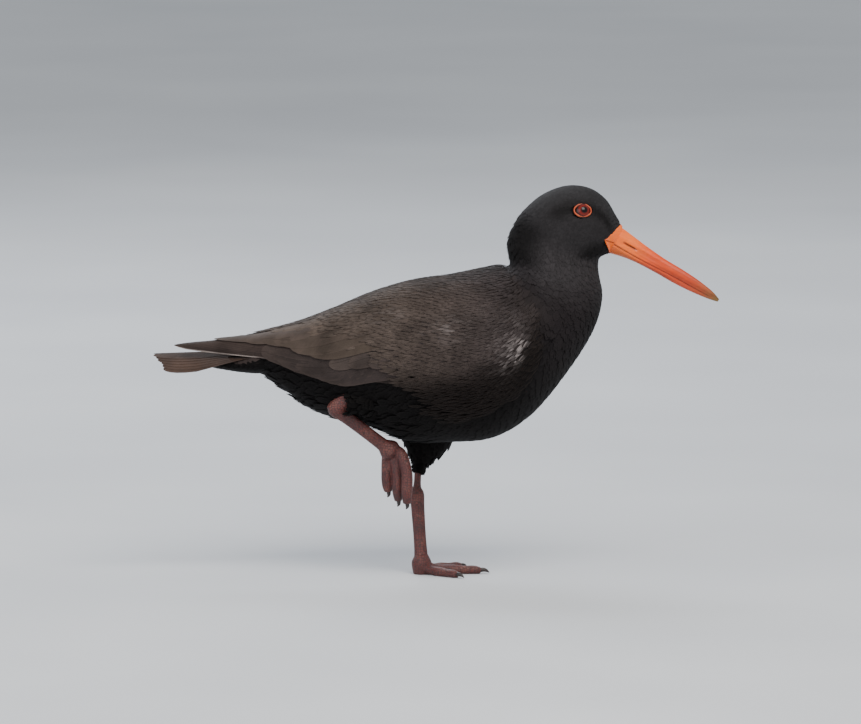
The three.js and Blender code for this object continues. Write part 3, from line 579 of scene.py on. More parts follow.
def tiles(surface, u, v, heading, long, wide, lift, form, arch=0.035):
    """Feathers walked over a surface. Each row of a vane is one step further along the
    heading, and each column a step to the side. The height runs from lift's first value at
    the root to its second at the tip, plus an arch across the vane."""
    way = heading
    root_lift, tip_lift = lift
    tops, normals, done = [], [], 0.0
    for share, width in form["rows"]:
        if share > done:
            u, v = walk(surface, u, v, way * (long * (share - done))[:, None])
            done = share
        normal = slopes(surface, u, v)[2]
        way = unit(way - normal * dot(normal, way)[:, None])
        side = np.cross(normal, way)
        for column in form["columns"]:
            uu, vv = walk(surface, u, v, side * (column * wide * width / 2)[:, None])
            out = slopes(surface, uu, vv)[2]
            height = root_lift + (tip_lift - root_lift) * share**0.8
            height = height + arch * wide * width * (1 - column**2) * 0.5
            tops.append(surface(uu, vv) + out * height[:, None])
            normals.append(out)
    shape = (len(form["rows"]), len(form["columns"]))
    top = np.stack(tops, 1).reshape(len(u), *shape, 3)
    normal = np.stack(normals, 1).reshape(len(u), *shape, 3)
    return top, normal


PATCH = 0.003      # how wide one feather's patch is on the laid-out skin


def vane_marks(form, long, wide, root_map, tone, tint, patch=PATCH):
    """For every grid point of every vane: its place on the baking map and in millimetres from
    the shaft's root, how near the rim it is, and the feather's tone and tint."""
    share, width = np.array(form["rows"]).T
    column = np.array(form["columns"], float)
    count, shape = len(long), (len(share), len(column))
    across = width[:, None] * column[None, :]
    ahead = np.broadcast_to(share[:, None], shape)
    bake = root_map[:, None, None, :] + patch * np.stack([across / 2, ahead - 0.5], -1)[None]
    vane = np.stack([across[None] * wide[:, None, None] / 2, ahead[None] * long[:, None, None]], -1)
    rim = np.maximum(np.abs(column)[None, :], ease(share, 0.55, 1.0)[:, None])
    edge = np.broadcast_to(rim, (count, *shape))
    tones = np.broadcast_to(tone[:, None, None, :], (count, *shape, 3))
    tints = np.broadcast_to(tint[:, None, None], (count, *shape))
    return bake, vane, edge, tones, tints


def feather_piece(name, groups, material, replaces=()):
    """Joins groups of like vanes, each with its form, grids and marks, into one piece."""
    points, quads, bakes, vanes, edges, tones, tints, start = [], [], [], [], [], [], [], 0
    for form, top, normal, thick, marks in groups:
        faces, each = lens_faces(len(form["rows"]), len(form["columns"]))
        count = len(top)
        points.append(lenses(top, normal, thick).reshape(-1, 3))
        quads.append((faces[None] + (start + np.arange(count) * each)[:, None, None]).reshape(-1, 4))
        start += count * each
        for kept, values in zip((bakes, vanes, edges, tones, tints), marks):
            spread = with_under(values)
            kept.append(spread.reshape(-1, *values.shape[3:]))
    joined = [np.concatenate(kept) for kept in (points, quads, bakes, vanes, edges, tones, tints)]
    return piece(
        name, joined[0], joined[1], maps={"OFBake": joined[2], "Vane": joined[3]},
        marks={"Edge": joined[4], "Tone": opaque(joined[5]), "Tint": joined[6]},
        material=material, replaces=replaces, rims=True,
    )


# %% Which way the feathers lie
FACE_AIM = np.array([-1.0, 0, -0.32])   # on the head they lie back and a little down


def lie(rib, angle):
    """On the body towards the tail, against the ribs' order. On the head the same for all:
    one direction laid flat on the skin. Between them, a blend."""
    along, _, normal = slopes(body, rib, angle)
    back = unit(FACE_AIM - normal * (normal @ FACE_AIM)[:, None])
    share = ease(rib, 15.2, 17.6)[:, None]
    return unit(-unit(along) * (1 - share) + back * share)


def coat_gap(rib, angle):
    """Distance between roots: 3 mm on the body, 0.9 mm at the bill, the same all the way
    round, whatever the angle."""
    return np.interp(rib, [2, 4, 12, 14, 16, 18, 21, 24], [2.6, 3.1, 2.9, 2.1, 1.6, 1.3, 1.1, 0.85])


# %% The edges of the folded wing, which cover part of the flank
WING_EDGE = np.array([
    # rib, upper and lower angle, height of the crown
    (2.3, 16, 90, 0.9), (3.2, 13, 96, 1.2), (4.5, 10, 100, 1.6), (6.0, 9, 104, 2.2), (7.5, 12, 99, 2.7),
    (9.0, 22, 95, 2.9), (10.2, 38, 94, 2.4), (11.0, 58, 91, 1.7), (11.4, 70, 84, 1.0),
])


def wing_edge(rib):
    """Upper and lower angle in degrees, and crown height, at a rib."""
    return [np.interp(rib, WING_EDGE[:, 0], WING_EDGE[:, k]) for k in (1, 2, 3)]


def wing_height(rib, angle):
    """The wing's swell off the body: the crown height times a rounded arch from edge to edge,
    fading out at the front, where the breast feathers lie over it."""
    upper, lower, crown = wing_edge(rib)
    share = np.clip((np.abs(np.degrees(angle)) - upper) / (lower - upper), 0, 1)
    return crown * (0.4 + 0.6 * np.sin(np.pi * share) ** 0.6) * (0.25 + 0.75 * ease(rib, 11.6, 10.3))


def under_wing(rib, angle, margin=7):
    """True well inside the wing's edges."""
    upper, lower, _ = wing_edge(rib)
    turn = np.abs(np.degrees(angle))
    return (turn > upper + margin) & (turn < lower - margin) & (rib > 2.6) & (rib < 11.0)


# %% [markdown]
# ## Eyes, lids and gape in the coat
#
# Feathers stop short of the bare ring round the eye and of the wedge of bare skin where the
# bill's edge runs back into the face. The ones in front of the eye are cut short by the ring,
# since they lie backwards and would else cover it.

# %% Local axes at the eye, and the room that the lids take
LIDS = {"long": 5.45, "tall": 3.85, "thick": 0.6}
BARE_ROUND_LIDS = (0.45, 0.85)       # room left beside the ring and above it
NEAR_EYE, UNBOUND = 14, 1e3


def eye_axes(side):
    """At the eye: the surface point, and unit vectors outward, forward and up."""
    rib, angle = np.array([EYE["rib"]]), np.array([side * EYE["angle"]])
    out = slopes(body, rib, angle)[2][0]
    forward = unit(np.array([1.0, 0, 0]) - out * out[0])
    up = np.cross(out, forward) * -side
    return body(rib, angle)[0], out, forward, up


def room_before_lids(points, way):
    """How far each feather may reach before it meets the ring round the eye: the distance to
    the ellipse along its way, in the plane of the face. Inside the ellipse it is nothing."""
    reach = np.full(len(points), UNBOUND)
    for side in (LEFT, RIGHT):
        centre, _, forward, up = eye_axes(side)
        size = np.array([LIDS["long"], LIDS["tall"]]) + LIDS["thick"] + np.array(BARE_ROUND_LIDS)
        flat = np.stack([dot(points - centre, forward), dot(points - centre, up)], -1) / size
        move = np.stack([dot(way, forward), dot(way, up)], -1) / size
        near = np.linalg.norm(points - centre, axis=1) < NEAR_EYE
        a, b, c = dot(move, move), dot(flat, move), dot(flat, flat) - 1
        inside = b * b - a * c
        hit = (-b - np.sqrt(np.maximum(inside, 0))) / np.maximum(a, 1e-9)
        reach = np.where(near & (inside > 0) & (hit > 0), np.minimum(reach, hit), reach)
        reach = np.where(near & (c < 0), 0.0, reach)
    return reach


# %% Where the bare wedge at the gape lies on the cheek
GAPE_CORNER = np.array([107.4, 217.3])   # x and z of the corner of the mouth
GAPE_TOP = np.array([116.9, 225.4])      # where the feathers' edge meets the bill, above
GAPE_FOOT = np.array([110.9, 208.6])     # and below
GAPE_MIDDLE = (GAPE_TOP + GAPE_FOOT) / 2 - GAPE_CORNER
GAPE_HALF = (GAPE_TOP - GAPE_FOOT) / 2
MOUTH_LEAN = -0.26                        # where the line of the mouth meets the bill


def gape_wedge(points):
    """True on the bare wedge. Seen from the side a point is the corner, plus so much of the
    way to the middle of the bill's base, plus so much of half that base: the second share is
    never more than the first."""
    axes = np.linalg.inv(np.stack([GAPE_MIDDLE, GAPE_HALF], axis=1))
    ahead, off = ((points[:, [0, 2]] - GAPE_CORNER) @ axes.T).T
    return (ahead > -0.02) & (ahead < 1.6) & (np.abs(off) < ahead + 0.04)


# %% Contour feathers over torso, neck and head
rng = np.random.default_rng(7)
REACH, SPAN = 4.6, 1.9     # a contour feather's length and width, in gaps between roots
THIN = 0.07                # its thickness, mm


def coat(name, rib_span, angle_span):
    """One stretch of the coat: scattered roots, kept off the wing, the eye and the gape. Tips
    stand a little higher where the coat is loose: on the ragged rear of the belly, in the
    hackles of the nape, between the wings, and at the shoulder, where they lie over the wing."""
    rib, angle = scatter(body, rib_span, angle_span, coat_gap)
    root = body(rib, angle)
    way = lie(rib, angle)
    gap = coat_gap(rib, angle)
    long = gap * REACH * rng.uniform(0.85, 1.15, len(rib))
    reach = room_before_lids(root, way)
    keep = ~under_wing(rib, angle) & (reach > 0.7) & ~gape_wedge(root)
    long = np.minimum(long, reach * 0.98)
    rib, angle, way, long, gap = (values[keep] for values in (rib, angle, way, long, gap))
    wide = gap * SPAN
    depth = coat_depth(rib)
    turn = np.abs(np.degrees(angle))
    ragged = ease(rib, 2.6, 3.4) * ease(rib, 8.6, 6.8) * ease(-np.cos(angle), 0.2, 0.6)
    stray = rng.normal(0, 0.08, len(rib)) * (1 + 2.5 * ragged)
    way = unit(way + np.cross(way, slopes(body, rib, angle)[2]) * stray[:, None])
    between = 0.9 * (turn < wing_edge(rib)[0] + 5) * ease(rib, 2.2, 3.2) * ease(rib, 11.2, 9.5)
    hackles = ease(rib, 14.4, 15.4) * ease(rib, 19.2, 17.6) * ease(np.cos(angle), 0.5, 0.85)
    loose = (2.2 * ragged + 0.9 * hackles) * rng.uniform(0, 1, len(rib)) ** 2
    shoulder = np.exp(-(((rib - 11.7) / 0.55) ** 2)) * ease(turn, 35, 55) * (np.cos(angle) > -0.3)
    over_wing = between + 1.7 * shoulder
    lift = (-depth * 0.6, 0.05 - 0.02 * depth + over_wing + loose)
    top, normal = tiles(body, rib, angle, way, long, wide, lift, CONTOUR)
    tone = body_tone(rib, angle)
    tint = rng.uniform(0.25, 0.95, len(rib))
    marks = vane_marks(CONTOUR, long, wide, body_map(rib, angle), tone, tint)
    return feather_piece(name, [(CONTOUR, top, normal, THIN + 0 * long, marks)], SOOTY)


TORSO, NECK, HEAD = (2.2, 13.0), (13.0, 16.0), (16.0, 23.95)     # spans of ribs
coat("coat_torso_left", TORSO, (0, np.pi))
coat("coat_torso_right", TORSO, (-np.pi, 0))
coat("coat_neck", NECK, (-np.pi, np.pi))
coat("coat_head_left", HEAD, (0, np.pi))
coat("coat_head_right", HEAD, (-np.pi, 0))

# %% The feathered thighs
THIGH_ROW = 0.93     # where the thighs' patches lie on the baking map, above the body's


def feathered_limb(name, surface, last, gaps, longs):
    """Feathers that point down a limb. gaps and longs are the values at its top and its end."""
    fall = lambda u, pair: np.interp(u, [0, last], pair)
    u, v = scatter(surface, (0.1, last - 0.1), (0, 2 * np.pi), lambda a, b: fall(a, gaps))
    way = unit(slopes(surface, u, v)[0])
    way = unit(way + np.cross(way, slopes(surface, u, v)[2]) * rng.normal(0, 0.16, len(u))[:, None])
    long, wide = fall(u, longs) * rng.uniform(0.6, 1.35, len(u)), fall(u, gaps) * 2
    loose = 0.2 + 2.2 * rng.uniform(0, 1, len(u)) ** 2
    top, normal = tiles(surface, u, v, way, long, wide, (-0.7, loose), CONTOUR)
    place = np.stack([0.5 + 0.4 * np.cos(v), THIGH_ROW + 0.02 * u], -1)
    # The belly's black, with its painted shade.
    tone = np.broadcast_to(BELLY_BLACK_WITH_PAINTED_SHADE, (len(u), 3))
    marks = vane_marks(CONTOUR, long, wide, place, tone, rng.uniform(0.2, 0.9, len(u)))
    feather_piece(name, [(CONTOUR, top, normal, THIN + 0 * u, marks)], SOOTY)


feathered_limb("coat_thigh_left", thigh, THIGH_END, (2.9, 1.6), (12.0, 4.5))
feathered_limb("coat_thigh_right", flank, FLANK_END + 0.1, (2.4, 1.5), (10.0, 7.0))

# %% [markdown]
# ## Folded wings
#
# A folded wing is a fan that is closed: long primaries slide under the secondaries, those
# under the tertials, and rows of coverts lie over all their roots. From the side one sees
# mostly coverts, tertials and scapulars, with the primaries' edges running out to the tip.
# The rows are laid one by one, lowest first, in the coordinates of the body, and each vane
# leans so that its lower edge rides over the next one below.

# %% The wing's own surface, and its lining under the feathers
LINING = {"rows": 44, "columns": 16, "below": 0.9, "thick": 1.6}


def wing(rib, angle):
    """The body's surface, raised by the wing's swell."""
    return raised(body, rib, angle, wing_height(rib, angle))


def wing_lining(side):
    """A closed plate below the feathers, its outer face just under the wing's surface."""
    rows, columns = LINING["rows"], LINING["columns"]
    rib = np.broadcast_to(np.linspace(2.3, 11.1, rows)[:, None], (rows, columns))
    upper, lower, _ = wing_edge(rib)
    share = np.linspace(0, 1, columns)[None, ::side]
    angle = side * np.radians(upper + (lower - upper) * share)
    # The rows run forward and the columns round the body, so the faces point outwards
    top = raised(body, rib, angle, wing_height(rib, angle) - LINING["below"])[None]
    normal = slopes(body, rib, angle)[2][None]
    return top, normal, np.array([LINING["thick"]])


LONG_ROWS = list(zip(
    [0, 0.08, 0.18, 0.3, 0.42, 0.54, 0.66, 0.77, 0.86, 0.93, 0.975, 1.0],
    [0.55, 0.66, 0.78, 0.89, 0.96, 1.0, 1.0, 0.95, 0.82, 0.62, 0.38, 0.12],
))
POINTED_ROWS = [(s, w * (1 - 0.35 * s**3)) for s, w in LONG_ROWS]
LONG_COLUMNS = [-1, -0.7, -0.35, 0, 0.35, 0.7, 1]
LONG = {"rows": LONG_ROWS, "columns": LONG_COLUMNS}
POINTED = {"rows": POINTED_ROWS, "columns": LONG_COLUMNS}

# Rows of long feathers: count, form, first and last half width, rise from root to tip, lean of
# the lower edge, roots and tips of the first and last feather as rib and degrees, tones, stray
WING_ROWS = [
    ("primaries", 8, POINTED, (5.2, 5.8), (-0.5, 0.35), 0.35,
     ((4.6, 88), (4.2, 62)), ((0.02, 64), (1.25, 40)), ("#2b2321", "#332a27"), 0.0),
    ("secondaries", 11, LONG, (5.6, 6.2), (-0.6, 0.5), 0.4,
     ((7.4, 86), (5.6, 80)), ((5.0, 103), (2.7, 82)), ("#302927", "#332b28"), 0.5),
    ("tertials", 6, LONG, (7.6, 6.8), (-0.4, 1.0), 0.45,
     ((7.8, 62), (7.2, 24)), ((4.4, 70), (1.1, 34)), ("#3d342d", "#453b35"), 0.8),
    ("greater_coverts", 14, LONG, (5.0, 6.2), (-0.7, 0.7), 0.3,
     ((10.6, 82), (6.9, 72)), ((9.8, 90), (5.2, 84)), ("#2d2727", "#3b332f"), 1.3),
    ("median_coverts", 13, LONG, (4.4, 5.6), (-0.6, 0.55), 0.25,
     ((10.7, 70), (7.3, 54)), ((9.9, 76), (6.2, 62)), ("#342e2e", "#433b37"), 1.6),
]


TIP_CROSSING = 3.2     # how much lower the left wing's tip lies, since folded wing tips cross


def wing_vanes(spec, side):
    """One row of vanes. Each runs straight from root to tip in rib and angle; its width turns
    the angle by width over the body's girth there. Its height is the wing's swell, plus a rise
    from root to tip, plus the lean across the vane, plus a small arch."""
    _, count, form, half, rise, lean, root, tip, tones, loose = spec
    step = np.linspace(0, 1, count)[:, None, None]
    share, width = (np.array(form["rows"]).T[k][None, :, None] for k in (0, 1))
    across = -side * np.array(form["columns"], float)[None, None, :]
    mix = lambda pair, at: pair[0] + (pair[1] - pair[0]) * at
    stray = rng.normal(0, loose, (2, count, 1, 1)) * np.array([0.12, 1.1])[:, None, None, None] * share
    rib, turn = (
        mix([mix([root[0][k], root[1][k]], step), mix([tip[0][k], tip[1][k]], step)], share) + stray[k]
        for k in (0, 1)
    )
    rib, turn = np.broadcast_arrays(rib + 0 * across, np.radians(turn) + 0 * across)
    girth = np.linalg.norm(body(rib, turn + 0.05) - body(rib, turn - 0.05), axis=-1) / 0.1
    wide = mix(half, step)
    angle = turn + across * wide * width / girth
    lift = wing_height(rib, angle) + mix(rise, share)
    lift = lift + lean * across * width + 0.12 * (1 - across**2) * width
    if side == LEFT:
        lift = lift - TIP_CROSSING * ease(rib, 2.6, 0.6)
    top = raised(body, rib, side * angle, lift)
    normal = slopes(body, rib, side * angle)[2]
    length = np.linalg.norm(top[:, -1, 3] - top[:, 0, 3], axis=-1)
    tone = blend(np.broadcast_to(linear(tones[0]), (count, 3)), linear(tones[1]), step[:, 0, 0])
    return top, normal, length, 2 * wide[:, 0, 0], tone


# %% Scattered coverts and scapulars over the wing
def wing_scatter(side, rib_span, share_span, gap, length, width, lift, tone_codes, form, back):
    """Feathers over a part of the wing given as a span of ribs and of shares from its upper to
    its lower edge. Roots are spread on the wing's surface and lie towards its tip."""
    def place(rib, share):
        upper, lower, _ = wing_edge(rib)
        return wing(rib, side * np.radians(upper + (lower - upper) * share))

    rib, share = scatter(place, rib_span, share_span, lambda u, v: gap(u), cells=120)
    behind = np.interp(share, REAR_EDGE[0], REAR_EDGE[1]) - back + rng.normal(0, 0.25, len(rib))
    rib, share = rib[rib > behind], share[rib > behind]
    upper, lower, _ = wing_edge(rib)
    angle = side * np.radians(upper + (lower - upper) * share)
    along, around, normal = slopes(wing, rib, angle)
    tilt = 0.10 * (share - 0.35)
    way = unit(-unit(along) - unit(around) * side * tilt[:, None])
    way = unit(way + np.cross(way, normal) * rng.normal(0, 0.06, len(rib))[:, None])
    long = length(rib) * rng.uniform(0.9, 1.12, len(rib))
    wide = width(rib) * rng.uniform(0.92, 1.08, len(rib))
    top, out = tiles(wing, rib, angle, way, long, wide, lift, form, arch=0.02)
    front, rear = (linear(code) for code in tone_codes)
    tone = blend(np.broadcast_to(front, (len(rib), 3)), rear, ease(rib, 11, 5))
    # The lower front edge takes the belly's black, which carries painted shade.
    low_front = ease(share, 0.84, 1.14) * ease(rib, 5.0, 7.0)
    tone = blend(tone, BELLY_BLACK_WITH_PAINTED_SHADE, 0.93 * low_front)
    tone = blend(tone, SHOULDER_SOOT, 0.75 * ease(rib, 10.4, 11.4))
    return top, out, rib, share, long, wide, tone


WORN = linear("#8c8380")
PALE_SHAFT = linear("#a2948c")
# Worn patches seen in the side view: rib and its spread, share and its spread, strength
PALE_PATCHES = [(10.35, 0.24, 0.99, 0.1, 2.2), (9.95, 0.5, 0.94, 0.16, 0.4), (10.3, 0.6, 0.7, 0.22, 0.3),
                (8.3, 0.5, 0.58, 0.1, 0.3), (6.6, 0.4, 0.42, 0.08, 0.22)]
# Where the small feathers end behind: share, and the least rib there
REAR_EDGE = [(0.0, 0.36, 0.42, 0.7, 1.0, 1.5), (4.2, 5.0, 7.0, 7.9, 8.8, 10.0)]
ROW_THICK, SMALL_THICK = 0.25, 0.14     # thickness of the vanes in rows and of the small ones
SOFT = {
    "rows": [(0, 0.4), (0.2, 0.78), (0.42, 1.0), (0.62, 0.95), (0.79, 0.74), (0.91, 0.46), (1.0, 0.12)],
    "columns": [-1, -0.5, 0, 0.5, 1],
}
WISP = {"rows": [(0, 0.5), (0.4, 1.0), (0.75, 0.7), (1.0, 0.15)], "columns": [-1, 0, 1]}
# Small feathers by zone: form, span of ribs, span of shares, then at the tail end and at the
# front the gap, length and width, rise from root to tip, tones, and how far past the rear edge
ZONES = [
    (SOFT, (7.2, 11.5), (0.36, 1.5), (4.2, 2.6), (19, 9.5), (8.6, 4.8), (-0.3, 0.45),
     ("#2e2829", "#433b3a"), 0.0),
    (SOFT, (4.2, 11.5), (0.0, 0.44), (5.0, 2.9), (34, 12), (10.5, 5.6), (-0.3, 0.8),
     ("#302a29", "#4c4139"), 0.0),
    (WISP, (4.8, 11.5), (0.03, 1.45), (2.9, 1.9), (11, 6), (2.1, 1.4), (0.1, 1.35),
     ("#332d2d", "#4a4039"), 1.7),
]
TAPER = (4.6, 11.2)     # ribs between which gap, length and width change


def worn_share(rib, share):
    """How worn the feathers are at a place: the patches' bell curves, added up."""
    return sum(
        strength * np.exp(-((rib - r) / dr) ** 2 - ((share - q) / dq) ** 2)
        for r, dr, q, dq, strength in PALE_PATCHES
    )


def wing_piece(side, name):
    """All feathers of one wing: lining, rows, then the small ones by zone, with worn pale ones
    in patches. Each has a cell of its own on the baking map, since the long ones are large."""
    sets = []
    top, normal, thick = wing_lining(side)
    lining = {
        "rows": [(s, 1) for s in np.linspace(0, 1, LINING["rows"])],
        "columns": list(np.linspace(-1, 1, LINING["columns"])),
    }
    # The lining is painted darker than the feathers: painted shade for the gaps between them.
    sets.append((lining, top, normal, thick, np.array([150.0]), np.array([60.0]), linear("#171313")[None]))
    for spec in WING_ROWS:
        top, normal, long, wide, tone = wing_vanes(spec, side)
        thick = np.full(len(top), ROW_THICK)
        sets.append((spec[2], top, normal, thick, long, wide, tone))
    for form, rib_span, share_span, gap, length, width, lift, codes, back in ZONES:
        fall = lambda pair: (lambda u: np.interp(u, TAPER, pair))
        top, out, rib, share, long, wide, tone = wing_scatter(
            side, rib_span, share_span, fall(gap), fall(length), fall(width), lift, codes, form, back
        )
        pale = np.clip(worn_share(rib, share) * rng.uniform(-0.25, 1.0, len(rib)), 0, 0.95)
        sets.append((form, top, out, np.full(len(top), SMALL_THICK), long, wide, blend(tone, WORN, pale)))
    total = sum(len(entry[1]) for entry in sets)
    cells = int(np.ceil(np.sqrt(total)))
    groups, start = [], 0
    for form, top, normal, thick, long, wide, tone in sets:
        number = start + np.arange(len(top))
        start += len(top)
        cell = (np.stack([number % cells, number // cells], -1) + 0.5) / cells
        tint = rng.uniform(0.3, 0.95, len(top))
        bake, vane, edge, tones, tints = vane_marks(form, long, wide, cell, tone, tint, patch=0.9 / cells)
        if form is POINTED:
            # The foremost primary's bare shaft shows as a pale line along the folded wing's edge
            low_side = np.array(form["columns"]) * -side > 0.8
            line = ease(np.array(form["rows"])[:, 0], 0.35, 0.6)[:, None] * low_side
            tones = tones.copy()
            tones[0] = blend(tones[0], PALE_SHAFT, line)
        groups.append((form, top, normal, thick, (bake, vane, edge, tones, tints)))
    return feather_piece("feathers_" + name, groups, BROWN, replaces=(name,))


wing_piece(LEFT, "wing_left")
wing_piece(RIGHT, "wing_right")


# %% The same wisps over the back between the wings
def back_wisps():
    """Roots over the strip that the wings leave free, on the wing's surface run on over the
    back, so that both wings and back close to one even coat."""
    gap = lambda u, v: np.interp(u, TAPER, (2.7, 1.9))
    rib, angle = scatter(wing, (2.8, 11.4), (-1.1, 1.1), gap)
    free = np.abs(np.degrees(angle)) < wing_edge(rib)[0] + 4
    rib, angle = rib[free], angle[free]
    along, _, normal = slopes(wing, rib, angle)
    way = -unit(along)
    way = unit(way + np.cross(way, normal) * rng.normal(0, 0.07, len(rib))[:, None])
    long = np.interp(rib, TAPER, (11, 6)) * rng.uniform(0.9, 1.12, len(rib))
    wide = np.interp(rib, TAPER, (2.1, 1.4))
    top, out = tiles(wing, rib, angle, way, long, wide, (0.1, 1.35), WISP, arch=0.02)
    tone = blend(np.broadcast_to(linear("#332d2d"), (len(rib), 3)), linear("#463c36"), ease(rib, 11, 5))
    tone = blend(tone, SHOULDER_SOOT, 0.6 * ease(rib, 10.4, 11.4))
    marks = vane_marks(WISP, long, wide, body_map(rib, angle), tone, rng.uniform(0.3, 0.95, len(rib)))
    group = (WISP, top, out, SMALL_THICK + 0 * long, marks)
    feather_piece("feathers_back", [group], BROWN)


back_wisps()

# %% [markdown]
# ## Tail
#
# Twelve feathers make the tail, a shallow roof when it is closed: the middle pair lies on top,
# and each next pair lies lower and further out. Short coverts hide their roots above and
# below. The feathers are grids over length and width; the roof's height is taken from where a
# point lies, so neighbours follow one another closely.

# %% Twelve tail feathers and their coverts
TAIL = {"root": -104, "tip": -181, "root_z": 145, "tip_z": 142.6, "drop": 10, "half": 24}
PAIRS = 6
LAYER = 0.3                # each pair lies this much lower than the last, mm
SHORTER = 5                # how much shorter the outermost pair is
TAIL_HALF, TAIL_THICK = 6.8, 0.16
HIDDEN_ROOT = 8            # length of each feather inside the core


def tail_height(x, y):
    """A line from root to tip, less the roof's fall: the share of the half width to the power
    1.4, growing from the root."""
    share = (x - TAIL["root"]) / (TAIL["tip"] - TAIL["root"])
    middle = TAIL["root_z"] + (TAIL["tip_z"] - TAIL["root_z"]) * share
    return middle - TAIL["drop"] * (np.abs(y) / TAIL["half"]) ** 1.4 * np.clip(1.6 * share, 0.3, 1)


def tail_vanes():
    """All twelve at once: pair and side in the first axis, then rows and columns."""
    pair = np.repeat(np.arange(PAIRS), 2)[:, None, None]
    side = np.tile([LEFT, RIGHT], PAIRS)[:, None, None]
    share, width = (np.array(LONG_ROWS).T[k][None, :, None] for k in (0, 1))
    column = np.array(LONG_COLUMNS, float)[None, None, :]
    out = pair / (PAIRS - 1)
    root_y, tip_y = side * (1.5 + 7 * out), side * (3.6 + (TAIL["half"] - 10) * out)
    tip_x = TAIL["tip"] + SHORTER * out + rng.uniform(0, 2.4, (2 * PAIRS, 1, 1)) * (pair > 0)
    x = TAIL["root"] - HIDDEN_ROOT + (tip_x - TAIL["root"] + HIDDEN_ROOT) * share + 0 * column
    y = root_y + (tip_y - root_y) * share - column * width * TAIL_HALF
    drop = LAYER * (pair + np.where(side == RIGHT, 0.5, 0))
    z = tail_height(x, y) - drop + 0.3 + 0.15 * (1 - column**2) * width
    top = np.stack([x, y + 0 * x, z], axis=-1)
    normal = np.zeros_like(top)
    normal[..., 2] = 1
    return top, normal


TAIL_CORE = [(-101, 141.5, 11.5, 16), (-112, 139.2, 9.2, 16), (-122, 138.0, 7.4, 16),
             (-133, 137.6, 5.4, 15.5), (-143, 137.8, 3.6, 14), (-150, 138.6, 1.6, 11)]
tail_core = limb([(x, 0, z) for x, z, *_ in TAIL_CORE], [station[2:] for station in TAIL_CORE], (0, 1, 0))
CORE_COAT = 0.8

core_points, core_quads, core_tris = closed_tube(drawn_in(tail_core, CORE_COAT), np.linspace(0, 5, 30), 40)
# The core takes the belly's black, with its painted shade.
core_tone = opaque(np.broadcast_to(BELLY_BLACK_WITH_PAINTED_SHADE, core_points.shape))
piece(
    "tail_core", core_points, core_quads, core_tris,
    maps={"OFBake": np.stack([core_points[:, 1] / 60 + 0.5, -core_points[:, 0] / 200], -1)},
    marks={"Tone": core_tone, "Tint": np.full(len(core_points), 0.5)},
    material=SOOTY,
)
top, normal = tail_vanes()
count = 2 * PAIRS
tail_long, tail_wide = np.full(count, 77.0), np.full(count, 2 * TAIL_HALF)
tail_tone = np.broadcast_to(linear("#403129"), (count, 3))
order = np.arange(count)
cells = np.stack([(order % 4 + 0.5) / 4, (order // 4 + 0.5) / 4], -1)
tail_tint = rng.uniform(0.4, 0.8, count)
tail_marks = vane_marks(LONG, tail_long, tail_wide, cells, tail_tone, tail_tint, patch=0.22)
tail_marks = (*tail_marks[:2], 0.5 * tail_marks[2], *tail_marks[3:])   # rims less worn than the wing's
tail_group = (LONG, top, normal, np.full(count, TAIL_THICK), tail_marks)
feather_piece("feathers_tail", [tail_group], BROWN, replaces=("tail",))

u, v = scatter(tail_core, (0.1, 4.3), (0, 2 * np.pi), lambda a, b: 3.4 + 0 * a)
way = unit(slopes(tail_core, u, v)[0])
long, wide = np.full(len(u), 15.0), np.full(len(u), 7.5)
top, normal = tiles(tail_core, u, v, way, long, wide, (-0.9, 0.1), CONTOUR)
above = np.cos(v) > 0.1
# Coverts below take the belly's black, with its painted shade.
covert_tone = np.where(above[:, None], linear("#2e2624"), BELLY_BLACK_WITH_PAINTED_SHADE)
place = np.stack([(v / (2 * np.pi)) % 1, 0.05 + 0.18 * u], -1)
marks = vane_marks(CONTOUR, long, wide, place, covert_tone, rng.uniform(0.3, 0.9, len(u)))
feather_piece("coat_tail_coverts", [(CONTOUR, top, normal, 0.15 + 0 * u, marks)], SOOTY)

# %% [markdown]
# ## Bill
#
# The bill is bone under a sheath of horn: vivid orange-red with a duller, worn tip. Each half
# is a tube whose section is a half oval with a nearly flat side at the mouth. A shallow groove
# runs forward from the slit of the nostril on each side. Modelled as a formula, groove and
# slit are dents in the section; carving them with a boolean would leave hard rims.

# %% The bill's frame, its sections and its two halves
BILL_ORIGIN = np.array([111, 0, 216.0])
DROOP = np.radians(30)
STATIONS = np.array([
    # along, top, mouth, chin, half width
    (-3.0, 10.0, -0.5, -8.2, 6.4), (2.2, 10.4, -0.6, -8.0, 6.5), (8, 9.9, -0.8, -6.6, 5.8),
    (15, 9.0, -0.9, -5.1, 5.0), (24, 7.9, -0.9, -4.2, 4.2), (36, 6.9, -0.4, -3.8, 3.4),
    (48, 6.6, 0.0, -3.8, 2.8), (58, 6.1, 0.1, -3.3, 2.3), (67, 5.1, 0.2, -2.4, 1.8),
    (74, 3.8, 0.4, -1.4, 1.3), (79.3, 1.9, 0.8, -0.2, 0.7),
])
NOSTRIL = {"along": 12.8, "height": 3.2, "half_long": 5.2, "half_tall": 0.42, "deep": 1.6}
MOUTH_GAP = 0.3


def bill_point(along, y, height):
    """The bill's frame is turned down by its droop about the bird's cross axis."""
    return np.stack([
        BILL_ORIGIN[0] + along * np.cos(DROOP) + height * np.sin(DROOP),
        y,
        BILL_ORIGIN[2] - along * np.sin(DROOP) + height * np.cos(DROOP),
    ], axis=-1)


